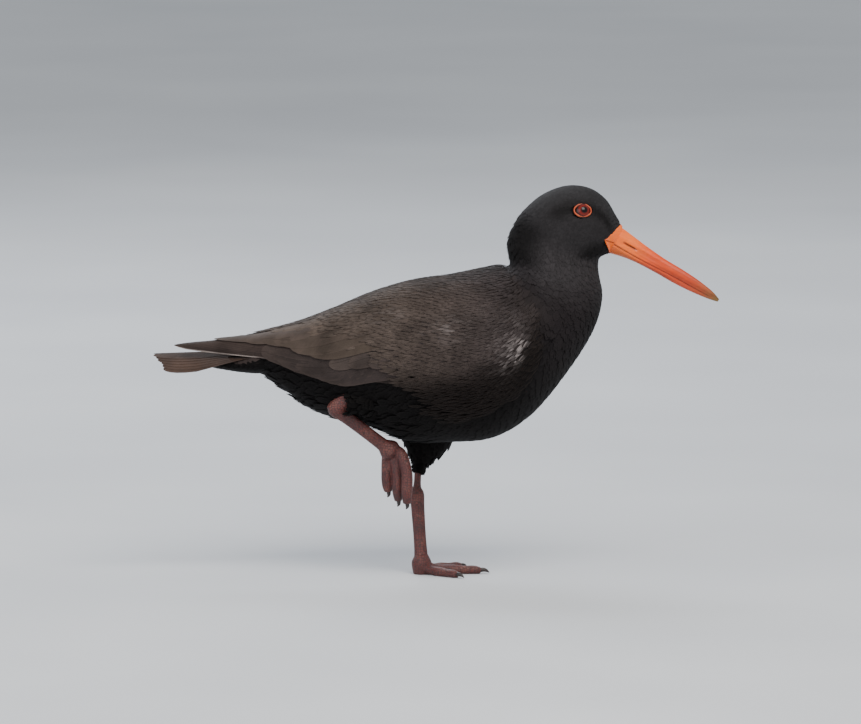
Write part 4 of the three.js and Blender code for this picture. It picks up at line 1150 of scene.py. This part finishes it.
def bill_half(upper, rings=190, sides=112):
    """Section: sideways the half width times the cosine, in height the mouth's line plus the
    full height times a power of the sine, and just under the line on the other side. The end
    ring closes to a point. Nostril and groove are bell curves over height that draw the side
    in. The shade, 0 to 1, is painted shade: it darkens the mouth's line, the slit, the groove
    with a line below and one above it, and the lower flank of each half."""
    at = np.linspace(0, len(STATIONS) - 1, rings)
    along, top, mouth, chin, half = smooth_line(STATIONS, at).T
    way = 1 if upper else -1
    floor = mouth + way * MOUTH_GAP / 2
    tall = (top if upper else chin) - floor
    angle = np.arange(sides) * 2 * np.pi / sides * -way
    sine, cosine = np.sin(angle), np.cos(angle)
    keel = np.where(sine >= 0, np.abs(sine) ** 0.85, 0)
    inner = np.where(sine < 0, -0.22 * np.abs(sine) ** 0.5, 0)
    height = floor[:, None] + tall[:, None] * keel[None] + way * inner[None]
    y = (half * (1 if upper else 0.9))[:, None] * cosine[None] * (1 - 0.06 * np.abs(sine)[None] ** 4)
    ahead = np.broadcast_to(along[:, None], y.shape)
    # Painted shade along the mouth's line, fading out just before the tip.
    shade = 0.75 * np.exp(-(((height - mouth[:, None]) / 0.3) ** 2)) * ease(ahead, 76, 70)
    if upper:
        mid = NOSTRIL["height"] - 0.012 * (ahead - NOSTRIL["along"])
        groove = np.exp(-((height - mid) / 1.1) ** 2) * ease(ahead, 4, 8) * ease(ahead, 46, 26)
        slit_end = np.clip(1 - ((ahead - NOSTRIL["along"]) / NOSTRIL["half_long"]) ** 2, 0, 1)
        slit = np.exp(-((height - mid) / NOSTRIL["half_tall"]) ** 2) * slit_end**0.5
        y = y - np.sign(y) * (0.35 * groove + NOSTRIL["deep"] * slit)
        # Painted shade in the nostril's slit and in the groove.
        shade = np.clip(shade + slit * 1.2 + 0.22 * groove, 0, 1)
        # Painted shade along a line below the groove and one above it.
        groove_line_shade = np.exp(-((height - mid + 1.9) / 0.35) ** 2) + np.exp(-((height - mid - 1.3) / 0.3) ** 2)
        shade = np.clip(shade + 0.22 * groove_line_shade * ease(ahead, 14, 24) * ease(ahead, 66, 50), 0, 1)
        # Painted shade on the lower flank, just above the mouth's line, from mid-bill on.
        flank_shade = np.exp(-(((height - mouth[:, None] - 1.5) / 0.9) ** 2)) * ease(ahead, 26, 42)
        shade = np.clip(shade + 0.34 * flank_shade, 0, 1)
    else:
        # Painted shade under the lower half, towards its base.
        chin_shade = ease(mouth[:, None] - height, 0.5, 2.4) * ease(ahead, 56, 38)
        shade = np.clip(shade + 0.42 * chin_shade, 0, 1)
    rings_points = bill_point(ahead, y, height)
    tip = rings_points[-1].mean(0) + np.array([0.5, 0, -0.3])
    points = np.concatenate([rings_points.reshape(-1, 3), rings_points[0].mean(0)[None], tip[None]])
    quads, tris = tube_faces(rings, sides)
    flat = np.stack([ahead / 100, height / 30 + 0.5], -1).reshape(-1, 2)
    flat = np.concatenate([flat, [[0, 0.5], [0.8, 0.5]]])
    shade = np.append(shade.ravel(), [0, 0])
    return points, quads, tris, flat, shade


# %% Horn sheath material
BLOTCH_MM, GRAIN_MM = 6.25, 1.111     # cloudy growth of the horn, and the streaks along it


def horn_sheath():
    """Keratin horn over bone, slightly see-through: orange at the base, redder further on,
    yellowish and worn at the tip, with fine streaks along its length. The painted shade mark
    of bill and gape darkens it towards a deep red-brown."""
    made, tree, shader = new_material("orange horn sheath", {
        "Subsurface Weight": 0.12, "Subsurface Radius": (0.002, 0.0008, 0.0004),
    })
    split = add_node(tree, "SeparateXYZ", {0: add_node(tree, "UVMap", uv_map="Bill").outputs[0]})
    along = split.outputs["X"]
    place = add_node(tree, "TexCoord").outputs["Object"]
    blotches = {"Vector": place, "Scale": per_metre(BLOTCH_MM), "Detail": 3.0}
    blotch = add_node(tree, "TexNoise", blotches).outputs["Fac"]
    wander = add_node(tree, "Math", {0: blotch, 1: 0.07, 2: along}, operation="MULTIPLY_ADD").outputs[0]
    ramp = set_ramp(add_node(tree, "ValToRGB", {0: wander}), [
        (0.0, "#ff6a16"), (0.14, "#ff741c"), (0.33, "#e64d12"),
        (0.6, "#c43e14"), (0.73, "#a8491e"), (0.8, "#7a5a2e"),
    ])
    along_bill = {"Vector": place, "Rotation": (0, DROOP, 0), "Scale": (0.12, 1, 1)}
    turned = add_node(tree, "Mapping", along_bill).outputs[0]
    streaks = {"Vector": turned, "Scale": per_metre(GRAIN_MM), "Detail": 2.0}
    grain = add_node(tree, "TexNoise", streaks).outputs["Fac"]
    # Painted shade: the mark from bill and gape darkens the horn towards a deep red-brown.
    slit = add_node(tree, "Attribute", attribute_name="PaintedShade").outputs["Fac"]
    fade = add_node(tree, "Math", {0: grain, 1: 0.35, 2: 0.82}, operation="MULTIPLY_ADD").outputs[0]
    grey = add_node(tree, "CombineColor", {0: fade, 1: fade, 2: fade}).outputs[0]
    streaked = mix_colours(tree, 1.0, ramp.outputs[0], grey, "MULTIPLY")
    dark = mix_colours(tree, slit, streaked, paint("#2a0d06"))
    relief = add_node(tree, "Bump", {"Strength": 0.25, "Distance": 0.0003, "Height": grain}).outputs[0]
    tree.links.new(dark, shader.inputs["Base Color"])
    tree.links.new(relief, shader.inputs["Normal"])
    rough = add_node(tree, "MapRange", {0: blotch, 1: 0.3, 2: 0.7, 3: 0.28, 4: 0.44}).outputs[0]
    tree.links.new(rough, shader.inputs["Roughness"])
    return made


HORN = horn_sheath()
for name, upper in (("bill_upper", True), ("bill_lower", False)):
    points, quads, tris, flat, shade = bill_half(upper)
    piece(
        "horn_" + name, points, quads, tris, maps={"Bill": flat}, marks={"PaintedShade": shade},
        material=HORN, replaces=(name,),
    )

# %% [markdown]
# ## Gape
#
# The bill's edge runs back into the face as a wedge of bare orange skin that ends at the
# corner of the mouth. It is a small closed patch that lies on the cheek, with the line of the
# mouth as a crease along its middle, darkened as painted shade.

# %% A patch on the cheek, found by its place seen from the side
def on_cheek(x, z, side):
    """Rib and angle of the surface point that has this x and z: the nearest of a grid, then
    a few short corrections by the slopes."""
    ribs, angles = np.meshgrid(np.linspace(20, 24, 160), np.linspace(0.3, 2.95, 200), indexing="ij")
    grid = body(ribs, angles)[..., [0, 2]].reshape(-1, 2)
    nearest = np.argmin(((grid[None] - np.stack([x, z], -1)[:, None]) ** 2).sum(-1), axis=1)
    rib, angle = ribs.ravel()[nearest], angles.ravel()[nearest]
    for _ in range(4):
        along, around, _ = slopes(body, rib, angle)
        point = body(rib, angle)
        miss = np.stack([x - point[:, 0], z - point[:, 2]], -1)
        whole = along[:, 0] * around[:, 2] - along[:, 2] * around[:, 0]
        whole = np.where(np.abs(whole) < 1e-3, 1e-3, whole)
        rib = rib + np.clip((miss[:, 0] * around[:, 2] - miss[:, 1] * around[:, 0]) / whole, -0.02, 0.02)
        angle = angle + np.clip((along[:, 0] * miss[:, 1] - along[:, 2] * miss[:, 0]) / whole, -0.01, 0.01)
    return np.clip(rib, 20, 24), side * angle


def gape_patch(side):
    """Grid over the wedge: from the corner forward, and across the line of the mouth. The
    crease is a narrow dip at its middle."""
    rows, columns = 30, 41
    ahead = np.linspace(0.0, 1.34, rows)[:, None]
    across = np.linspace(1, -1, columns)[None, :] * side
    off = across * (ahead + 0.005)
    x = (GAPE_CORNER[0] + GAPE_MIDDLE[0] * ahead + GAPE_HALF[0] * off).ravel()
    z = (GAPE_CORNER[1] + GAPE_MIDDLE[1] * ahead + GAPE_HALF[1] * off).ravel()
    rib, angle = on_cheek(x, z, side)
    from_mouth = (off - MOUTH_LEAN * ahead) * np.linalg.norm(GAPE_HALF)
    crease = (np.exp(-((from_mouth / 0.38) ** 2)) * ease(ahead, 0.02, 0.2)).ravel()
    swell = np.sqrt(np.maximum(1 - across**2, 0)).repeat(rows, 0).ravel() * 0.5
    top = raised(body, rib, angle, -0.35 + swell - 0.5 * crease).reshape(1, rows, columns, 3)
    normal = slopes(body, rib, angle)[2].reshape(1, rows, columns, 3)
    return top, normal, np.clip(crease, 0, 1).reshape(1, rows, columns)


for name, side in (("left", LEFT), ("right", RIGHT)):
    top, normal, crease = gape_patch(side)
    faces, _ = lens_faces(*crease.shape[1:])
    points = lenses(top, normal, np.array([0.8]))[0]
    flat = np.stack([np.full(len(points), 0.04), np.full(len(points), 0.5)], -1)
    # Painted shade: the crease along the mouth's line is darkened.
    dark = 0.8 * with_under(crease[..., None])[0, :, 0]
    piece(
        "gape_" + name, points, faces, maps={"Bill": flat}, marks={"PaintedShade": dark},
        material=HORN, rims=True,
    )

# %% [markdown]
# ## Eyes and lids
#
# The eye is a wet ball sunk in the head, with the clear bulge of the cornea, a red iris and a
# black pupil. A ring of bare orange-red skin holds it. The ball is a grid over the angle from
# its axis and the angle round it, and the iris is painted by that first angle, so it stays in
# place from any side. A ball sized to show whole would look pasted on: here only a cap shows.

# %% Eyeball with a cornea, and its material
CORNEA = 0.35          # height of its bulge, mm
WRINKLE_MM = 0.7143    # size of the wrinkles in the bare skin round it


def eyeball(side, rings=60, sides=64):
    """Radius plus a bulge that falls off with the square of the angle from the axis."""
    centre = eye_centre(side)
    _, out, forward, up = eye_axes(side)
    axis = unit(out + 0.10 * forward)
    forward = unit(forward - axis * (forward @ axis))
    up = np.cross(axis, forward)
    polar = np.linspace(0.03, np.pi - 0.03, rings)[:, None, None]
    turn = (np.arange(sides) * 2 * np.pi / sides)[None, :, None]
    radius = EYE["radius"] + CORNEA * np.exp(-((polar / 0.55) ** 2))
    ring = forward * np.cos(turn) + up * np.sin(turn)
    points = centre + radius * (axis * np.cos(polar) + ring * np.sin(polar))
    poles = centre + np.array([axis * (EYE["radius"] + CORNEA), -axis * EYE["radius"]])
    quads, tris = tube_faces(rings, sides)
    spoke = np.broadcast_to(polar[..., 0] / np.pi, (rings, sides)).ravel()
    around = np.broadcast_to(turn[..., 0] / (2 * np.pi), (rings, sides)).ravel()
    flat = np.concatenate([np.stack([spoke, around], -1), [[0, 0], [1, 0]]])
    return np.concatenate([points.reshape(-1, 3), poles]), quads, tris, flat


def wet_eye():
    """A wet, clear coat over painted tissue: black pupil, blood-red iris with finer spokes, and a
    dark rim beyond the iris that stays dark over the rest of the ball."""
    made, tree, shader = new_material("wet red eye", {
        "Roughness": 0.3, "IOR": 1.376, "Specular IOR Level": 0.25, "Coat Weight": 0.35,
        "Coat Roughness": 0.03,
    })
    split = add_node(tree, "SeparateXYZ", {0: add_node(tree, "UVMap", uv_map="Iris").outputs[0]})
    spokes = add_node(tree, "CombineXYZ", {0: split.outputs["Y"], 1: split.outputs["X"], 2: 0.0}).outputs[0]
    stretched = add_node(tree, "Mapping", {"Vector": spokes, "Scale": (60, 6, 1)}).outputs[0]
    fibre = add_node(tree, "TexNoise", {"Vector": stretched, "Scale": 1.0, "Detail": 2.0}).outputs["Fac"]
    uneven = {0: fibre, 1: 0.012, 2: split.outputs["X"]}
    at = add_node(tree, "Math", uneven, operation="MULTIPLY_ADD").outputs[0]
    ramp = set_ramp(add_node(tree, "ValToRGB", {0: at}), [
        (0.0, "#050303"), (0.1, "#050303"), (0.11, "#4a0c05"),
        (0.16, "#741608"), (0.215, "#4c0e06"), (0.25, "#120504"),
    ])
    tree.links.new(ramp.outputs[0], shader.inputs["Base Color"])
    return made


def bare_lid():
    """Thin, wrinkled skin with blood and pigment near the surface."""
    made, tree, shader = new_material("bare orange lid skin", {
        "Roughness": 0.5, "Subsurface Weight": 0.15,
        "Subsurface Radius": (0.001, 0.0004, 0.0002),
    })
    place = add_node(tree, "TexCoord").outputs["Object"]
    wrinkled = {"Vector": place, "Scale": per_metre(WRINKLE_MM), "Detail": 2.0}
    wrinkle = add_node(tree, "TexNoise", wrinkled).outputs["Fac"]
    stops = [(0.3, "#8f3014"), (0.5, "#b8481c"), (0.72, "#cc6434")]
    ramp = set_ramp(add_node(tree, "ValToRGB", {0: wrinkle}), stops)
    relief = add_node(tree, "Bump", {"Strength": 0.5, "Distance": 0.0003, "Height": wrinkle}).outputs[0]
    tree.links.new(ramp.outputs[0], shader.inputs["Base Color"])
    tree.links.new(relief, shader.inputs["Normal"])
    return made


WET_EYE, LID_SKIN = wet_eye(), bare_lid()


def lid_ring(side, steps=110, sides=18):
    """A ring laid on the cheek: an ellipse walked out from the eye's place, with an oval
    section that is thinner at the corners, and small beads along its rim."""
    *_, forward, up = eye_axes(side)
    turn = np.arange(steps) * 2 * np.pi / steps
    spoke = forward * (np.cos(turn) * LIDS["long"])[:, None] + up * (np.sin(turn) * LIDS["tall"])[:, None]
    rib, angle = np.full(steps, EYE["rib"]), np.full(steps, side * EYE["angle"])
    for _ in range(3):
        rib, angle = walk(body, rib, angle, spoke / 3)
    middle, normal = body(rib, angle), slopes(body, rib, angle)[2]
    outward = unit(middle - body(np.array([EYE["rib"]]), np.array([side * EYE["angle"]])))
    outward = unit(outward - normal * dot(outward, normal)[:, None])
    thick = LIDS["thick"] * (1 - 0.28 * np.abs(np.cos(turn)) ** 6) * (1 + 0.05 * np.sin(turn * 34))
    section = (np.arange(sides) * 2 * np.pi / sides)[None, :, None]
    ring = (
        middle[:, None]
        + normal[:, None] * (0.2 + 0.85 * thick[:, None, None] * np.sin(section))
        + outward[:, None] * (thick[:, None, None] * np.cos(section))
    )
    place = np.arange(steps * sides).reshape(steps, sides)
    ahead, beside = np.roll(place, -1, axis=0), np.roll(place, -1, axis=1)
    both = np.roll(ahead, -1, axis=1)
    order = [place, beside, both, ahead] if side == LEFT else [place, ahead, both, beside]
    return ring.reshape(-1, 3), np.stack(order, -1).reshape(-1, 4)


for name, side in (("left", LEFT), ("right", RIGHT)):
    points, quads, tris, flat = eyeball(side)
    piece(
        "eyeball_" + name, points, quads, tris, maps={"Iris": flat},
        material=WET_EYE, replaces=("eye_" + name,),
    )
    points, quads = lid_ring(side)
    piece("lid_ring_" + name, points, quads, material=LID_SKIN, replaces=("lids_" + name,))

# %% [markdown]
# ## Legs
#
# Below the feathers the legs are bare: a short shank, the knobbed ankle, the stout tarsus and
# three toes, all in one scaled skin. Each part starts as a tube round a line. A fine voxel
# remesh fuses the tubes, which gives the soft webs of skin between them that real feet have
# and that separate tubes lack. Small scales are a bump of cells about 1.6 mm across.

# %% Lines and sizes of shank, tarsus and toes
SIDEWAYS = (0, 1, 0)
TARSUS_AT = np.array([-0.11, 0.0, 0.2, 0.55, 0.85, 1.0])
STANDING = {"ankle": np.array([-12.6, 8.5, 51]), "foot": np.array([-9.6, 3, 7.2]), "heel": 4.7}
LIFTED = {"ankle": np.array([-64.4, -27, 110.6]), "foot": np.array([-29.5, -14, 82]), "heel": 5.4}
LIFTED_HIP, LIFTED_BEND = np.array([-30, -24, 124.0]), np.array([-54.5, -26.4, 117.2])


def tarsus_tube(leg):
    """Stations along the straight line from ankle to foot."""
    path = leg["ankle"] + TARSUS_AT[:, None] * (leg["foot"] - leg["ankle"])
    sizes = [(2.6, 2.2), (leg["heel"], leg["heel"] - 0.3), (4.4, 3.4), (4.1, 3.2), (4.3, 3.5), (5.2, 4.8)]
    return limb(path, sizes, SIDEWAYS), len(path) - 1


STANDING_TOES = {"inner": (-40, 30, 2.9), "middle": (2, 38, 3.1), "outer": (40, 33, 3.0)}
TOE_AT = np.array([0.05, 0.3, 0.5, 0.7, 0.88, 1.0])
TOE_HEIGHT = np.array([4.2, 3.1, 2.7, 2.5, 2.3, 2.0])
TOE_SWELL = np.array([1.3, 1.02, 1.16, 0.95, 1.02, 0.72])


def standing_toe(heading, long, thick):
    """A line on the floor from the foot, at a heading, with the swellings of its joint pads."""
    way = np.array([np.cos(np.radians(heading)), np.sin(np.radians(heading)), 0])
    base = np.array([STANDING["foot"][0], STANDING["foot"][1], 0])
    path = base + long * TOE_AT[:, None] * way + TOE_HEIGHT[:, None] * np.array([0, 0, 1])
    sizes = np.stack([thick * TOE_SWELL * 0.95, thick * TOE_SWELL], -1)
    return limb(path, sizes, (-way[1], way[0], 0)), len(path) - 1


LIFTED_ROOT = (-27.5, -13.4, 82)
LIFTED_TOES = {
    "inner": ([(-31, -12, 79), (-32, -12, 69), (-31.6, -11.4, 60), (-30.8, -10.8, 55)], 3.4),
    "middle": ([(-27, -14, 77), (-25.4, -15.6, 66), (-25, -15.4, 56), (-24.4, -14.6, 49.5)], 3.35),
    "outer": ([(-22.5, -16, 79), (-18.9, -20.4, 68), (-19.0, -20.8, 57), (-18.9, -19.8, 48.5)], 3.6),
}
LIFTED_SWELL = np.array([1.2, 1.12, 1.0, 1.02, 0.74])
LIFTED_ACROSS = (0.33, 0.94, 0)     # the lifted foot is turned a little inward


def lifted_toe(joints, thick):
    path = np.array([LIFTED_ROOT, *joints], float)
    sizes = np.stack([thick * LIFTED_SWELL, thick * LIFTED_SWELL * 0.9], -1)
    return limb(path, sizes, LIFTED_ACROSS), len(path) - 1


# %% Skin of the legs
SCALE_MM, BLOOM_MM = 1.613, 11.11     # one small scale, and a patch of the grey bloom


def scaled_skin():
    """Leathery skin with small raised cells and creases between them darkened as painted shade,
    dull pink with a grey bloom, a little glossy as living skin is."""
    made, tree, shader = new_material("scaled leg skin", {
        "Roughness": 0.5, "Subsurface Weight": 0.08,
        "Subsurface Radius": (0.0015, 0.0006, 0.0004),
    })
    place = add_node(tree, "TexCoord").outputs["Object"]
    spread = {"Vector": place, "Scale": per_metre(SCALE_MM), "Randomness": 0.8}
    cells = add_node(tree, "TexVoronoi", spread, feature="DISTANCE_TO_EDGE")
    crease = add_node(tree, "MapRange", {0: cells.outputs[0], 1: 0.0, 2: 0.16, 3: 0.0, 4: 1.0}).outputs[0]
    patchy = {"Vector": place, "Scale": per_metre(BLOOM_MM), "Detail": 3.0}
    bloom = add_node(tree, "TexNoise", patchy).outputs["Fac"]
    stops = [(0.3, "#481f1c"), (0.5, "#5e2924"), (0.72, "#714036")]
    ramp = set_ramp(add_node(tree, "ValToRGB", {0: bloom}), stops)
    # Painted shade: the creases between the scales are darkened towards a dark brown.
    dark = mix_colours(tree, crease, paint("#2e1918"), ramp.outputs[0])
    relief = add_node(tree, "Bump", {"Strength": 0.55, "Distance": 0.0004, "Height": crease}).outputs[0]
    tree.links.new(dark, shader.inputs["Base Color"])
    tree.links.new(relief, shader.inputs["Normal"])
    return made


SCALED = scaled_skin()

# %% Fusing the tubes of each leg
VOXEL = 0.00045          # metres
NO_FLOOR = -1000.0       # for what hangs in the air


def fused_leg(name, tubes, floor, replaces):
    """Joins closed tubes, each with its last station, into one mesh, fuses it by a voxel
    remesh, smooths the steps, and presses the underside flat on the floor."""
    points, quads, tris, start = [], [], [], 0
    for surface, last in tubes:
        p, q, t = closed_tube(surface, np.linspace(0, last, 12 * last + 1), 28)
        points.append(p)
        quads.append(q + start)
        tris.append(t + start)
        start += len(p)
    points = np.concatenate(points)
    points[:, 2] = np.maximum(points[:, 2], floor)
    leg = piece(
        name, points, np.concatenate(quads), np.concatenate(tris),
        material=SCALED, replaces=replaces,
    )
    remesh = leg.modifiers.new("fuse", "REMESH")
    remesh.mode, remesh.voxel_size = "VOXEL", VOXEL
    soften = leg.modifiers.new("soften", "SMOOTH")
    soften.factor, soften.iterations = 0.6, 8
    evaluated = leg.evaluated_get(bpy.context.evaluated_depsgraph_get())
    fused = bpy.data.meshes.new_from_object(evaluated)
    leg.modifiers.clear()
    leg.data = fused
    place = np.empty(len(fused.vertices) * 3, np.float32)
    fused.vertices.foreach_get("co", place)
    place = place.reshape(-1, 3)
    place[:, 2] = np.maximum(place[:, 2], floor * MM)
    fused.vertices.foreach_set("co", place.ravel())
    fused.polygons.foreach_set("use_smooth", np.ones(len(fused.polygons), bool))
    fused.update()
    print(f"{name}: fused to {len(fused.polygons)} faces")
    return leg


ankle, foot = STANDING["ankle"], STANDING["foot"]
shank_start = KNEE + np.array([0.4, 0.4, 8])
shank_path = [shank_start, (KNEE + ankle) / 2, ankle + (0, 0, 1.5)]
standing_tubes = [
    (limb(shank_path, [(2.4, 2.3), (2.4, 2.2), (3.6, 3.2)], SIDEWAYS), 2),
    tarsus_tube(STANDING),
    (limb([foot + (0, 0, 5), foot, foot - (0, 0, 8)], [(4.4, 4.2), (6.4, 6.2), (5.2, 5.2)], SIDEWAYS), 2),
    *(standing_toe(*spec) for spec in STANDING_TOES.values()),
]


def leg_nodes(leg):
    """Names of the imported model's nodes that one leg's skin stands for."""
    toes = (f"toe_{leg}_{toe}" for toe in STANDING_TOES)
    return (f"leg_{leg}_shank", f"leg_{leg}_tarsus", *toes)


fused_leg("leg_skin_left", standing_tubes, 0.0, leg_nodes("left"))

ankle, foot = LIFTED["ankle"], LIFTED["foot"]
palm_way = unit(foot - ankle)
palm_path = [foot - 7 * palm_way, foot, foot + 6 * palm_way]
lifted_tubes = [
    (limb([LIFTED_HIP, LIFTED_BEND, ankle], [(5.5, 5), (6, 4.8), (5.2, 4.4)], SIDEWAYS), 2),
    tarsus_tube(LIFTED),
    (limb(palm_path, [(4.0, 3.6), (7.0, 6.2), (3.2, 3.0)], SIDEWAYS), 2),
    *(lifted_toe(*spec) for spec in LIFTED_TOES.values()),
]
fused_leg("leg_skin_right", lifted_tubes, NO_FLOOR, leg_nodes("right"))

# %% Claws
CLAW = {"left": 5.5, "right": 3.6}     # how far each reaches past its toe, mm
CLAW_GRAIN_MM = 1.4286


def claw_horn():
    """Dark horn, a little glossy and streaked along its length."""
    made, tree, shader = new_material("dark claw horn", {"Roughness": 0.38})
    place = add_node(tree, "TexCoord").outputs["Object"]
    streaks = {"Vector": place, "Scale": per_metre(CLAW_GRAIN_MM), "Detail": 2.0}
    grain = add_node(tree, "TexNoise", streaks).outputs["Fac"]
    ramp = set_ramp(add_node(tree, "ValToRGB", {0: grain}), [(0.3, "#171110"), (0.7, "#3a2c28")])
    tree.links.new(ramp.outputs[0], shader.inputs["Base Color"])
    return made


CLAW_HORN = claw_horn()


def add_claw(leg, toe, path, sizes, across, floor):
    """A closed tube that tapers to a point, kept above the floor."""
    points, quads, tris = closed_tube(limb(path, sizes, across), np.linspace(0, 3, 25), 20)
    points[:, 2] = np.maximum(points[:, 2], floor)
    node = f"claw_{leg}_{toe}"
    piece("horn_" + node, points, quads, tris, material=CLAW_HORN, replaces=(node,))


for toe, (heading, long, thick) in STANDING_TOES.items():
    way = np.array([np.cos(np.radians(heading)), np.sin(np.radians(heading)), 0])
    base = np.array([STANDING["foot"][0], STANDING["foot"][1], 0])
    reach, rise = np.array([-1.0, 1.5, 3.6, CLAW["left"]]), np.array([2.2, 2.5, 2.0, 0.7])
    path = base + (long + reach)[:, None] * way + rise[:, None] * np.array([0, 0, 1])
    sizes = [(1.5, 1.4), (1.4, 1.25), (1.0, 0.9), (0.22, 0.22)]
    add_claw("left", toe, path, sizes, (-way[1], way[0], 0), 0.0)
for toe, (joints, thick) in LIFTED_TOES.items():
    end = np.array(joints[-1], float)
    path = end + np.array([(0, 0, 1.2), (0.3, 0, -1.0), (0.1, 0, -2.4), (-0.7, 0, -CLAW["right"])])
    sizes = [(1.4, 1.3), (1.35, 1.2), (0.95, 0.85), (0.2, 0.2)]
    add_claw("right", toe, path, sizes, LIFTED_ACROSS, NO_FLOOR)

# %% [markdown]
# ## Floor, light and camera
#
# The model stands on a plain pale floor under large soft lights, as on a museum's photo
# table. The camera is far off with a long lens, level with the bird's side and seven degrees
# up, as in the photograph, so the outline has almost no perspective.

# %% Floor
MOTTLE_MM = 333.3


def pale_floor():
    """Matt painted board: even, pale, with a barely visible mottle."""
    made, tree, shader = new_material("pale matt board", {"Roughness": 0.9})
    place = add_node(tree, "TexCoord").outputs["Object"]
    mottled = {"Vector": place, "Scale": per_metre(MOTTLE_MM), "Detail": 2.0}
    mottle = add_node(tree, "TexNoise", mottled).outputs["Fac"]
    ramp = set_ramp(add_node(tree, "ValToRGB", {0: mottle}), [(0.3, "#c9cbce"), (0.7, "#d3d5d7")])
    tree.links.new(ramp.outputs[0], shader.inputs["Base Color"])
    return made


FLOOR_HALF = 6.0
floor_corners = [(x * FLOOR_HALF, y * FLOOR_HALF, 0) for x, y in ((-1, -1), (1, -1), (1, 1), (-1, 1))]
floor_mesh = bpy.data.meshes.new("floor")
floor_mesh.from_pydata(floor_corners, [], [(0, 1, 2, 3)])
floor_mesh.materials.append(pale_floor())
floor = bpy.data.objects.new("floor", floor_mesh)
bpy.context.scene.collection.objects.link(floor)

# %% Lights
def soft_light(name, place, aim, size, watts, colour):
    """A square lamp turned to face a point."""
    data = bpy.data.lights.new(name, "AREA")
    data.shape, data.size, data.energy = "SQUARE", size, watts
    data.color = linear(colour)
    lamp = bpy.data.objects.new(name, data)
    lamp.location = place
    lamp.rotation_euler = (Vector(aim) - Vector(place)).to_track_quat("-Z", "Y").to_euler()
    bpy.context.scene.collection.objects.link(lamp)


MIDDLE = (0, 0, 0.14)
soft_light("key_light", (0.5, -1.3, 1.9), MIDDLE, 1.3, 46, "#fffaf3")
soft_light("fill_light", (-1.6, -1.5, 0.9), MIDDLE, 1.6, 18, "#eef4ff")
soft_light("rim_light", (-0.6, 1.5, 1.5), MIDDLE, 1.2, 26, "#f4f8ff")
world = bpy.data.worlds.new("soft studio")
world.use_nodes = True
world.node_tree.nodes["Background"].inputs[0].default_value = paint("#dfe4ea")
world.node_tree.nodes["Background"].inputs[1].default_value = 0.75
bpy.context.scene.world = world

# %% Camera
ELEVATION = np.radians(7)
AWAY = 8.0
VIEW_WIDTH = 0.551         # what the photograph takes in, across, at the bird
LOOK_AT = np.array([-3.84, 0, 137.3]) * MM + SHIFT * MM
camera_data = bpy.data.cameras.new("camera")
camera_data.sensor_width = 36
camera_data.lens = 36 * AWAY / VIEW_WIDTH
camera_data.clip_end = 60
camera = bpy.data.objects.new("camera", camera_data)
camera.location = LOOK_AT + AWAY * np.array([0, -np.cos(ELEVATION), np.sin(ELEVATION)])
camera.rotation_euler = (Vector(LOOK_AT) - camera.location).to_track_quat("-Z", "Y").to_euler()
bpy.context.scene.collection.objects.link(camera)
bpy.context.scene.camera = camera

# %% The end
bpy.context.view_layer.update()
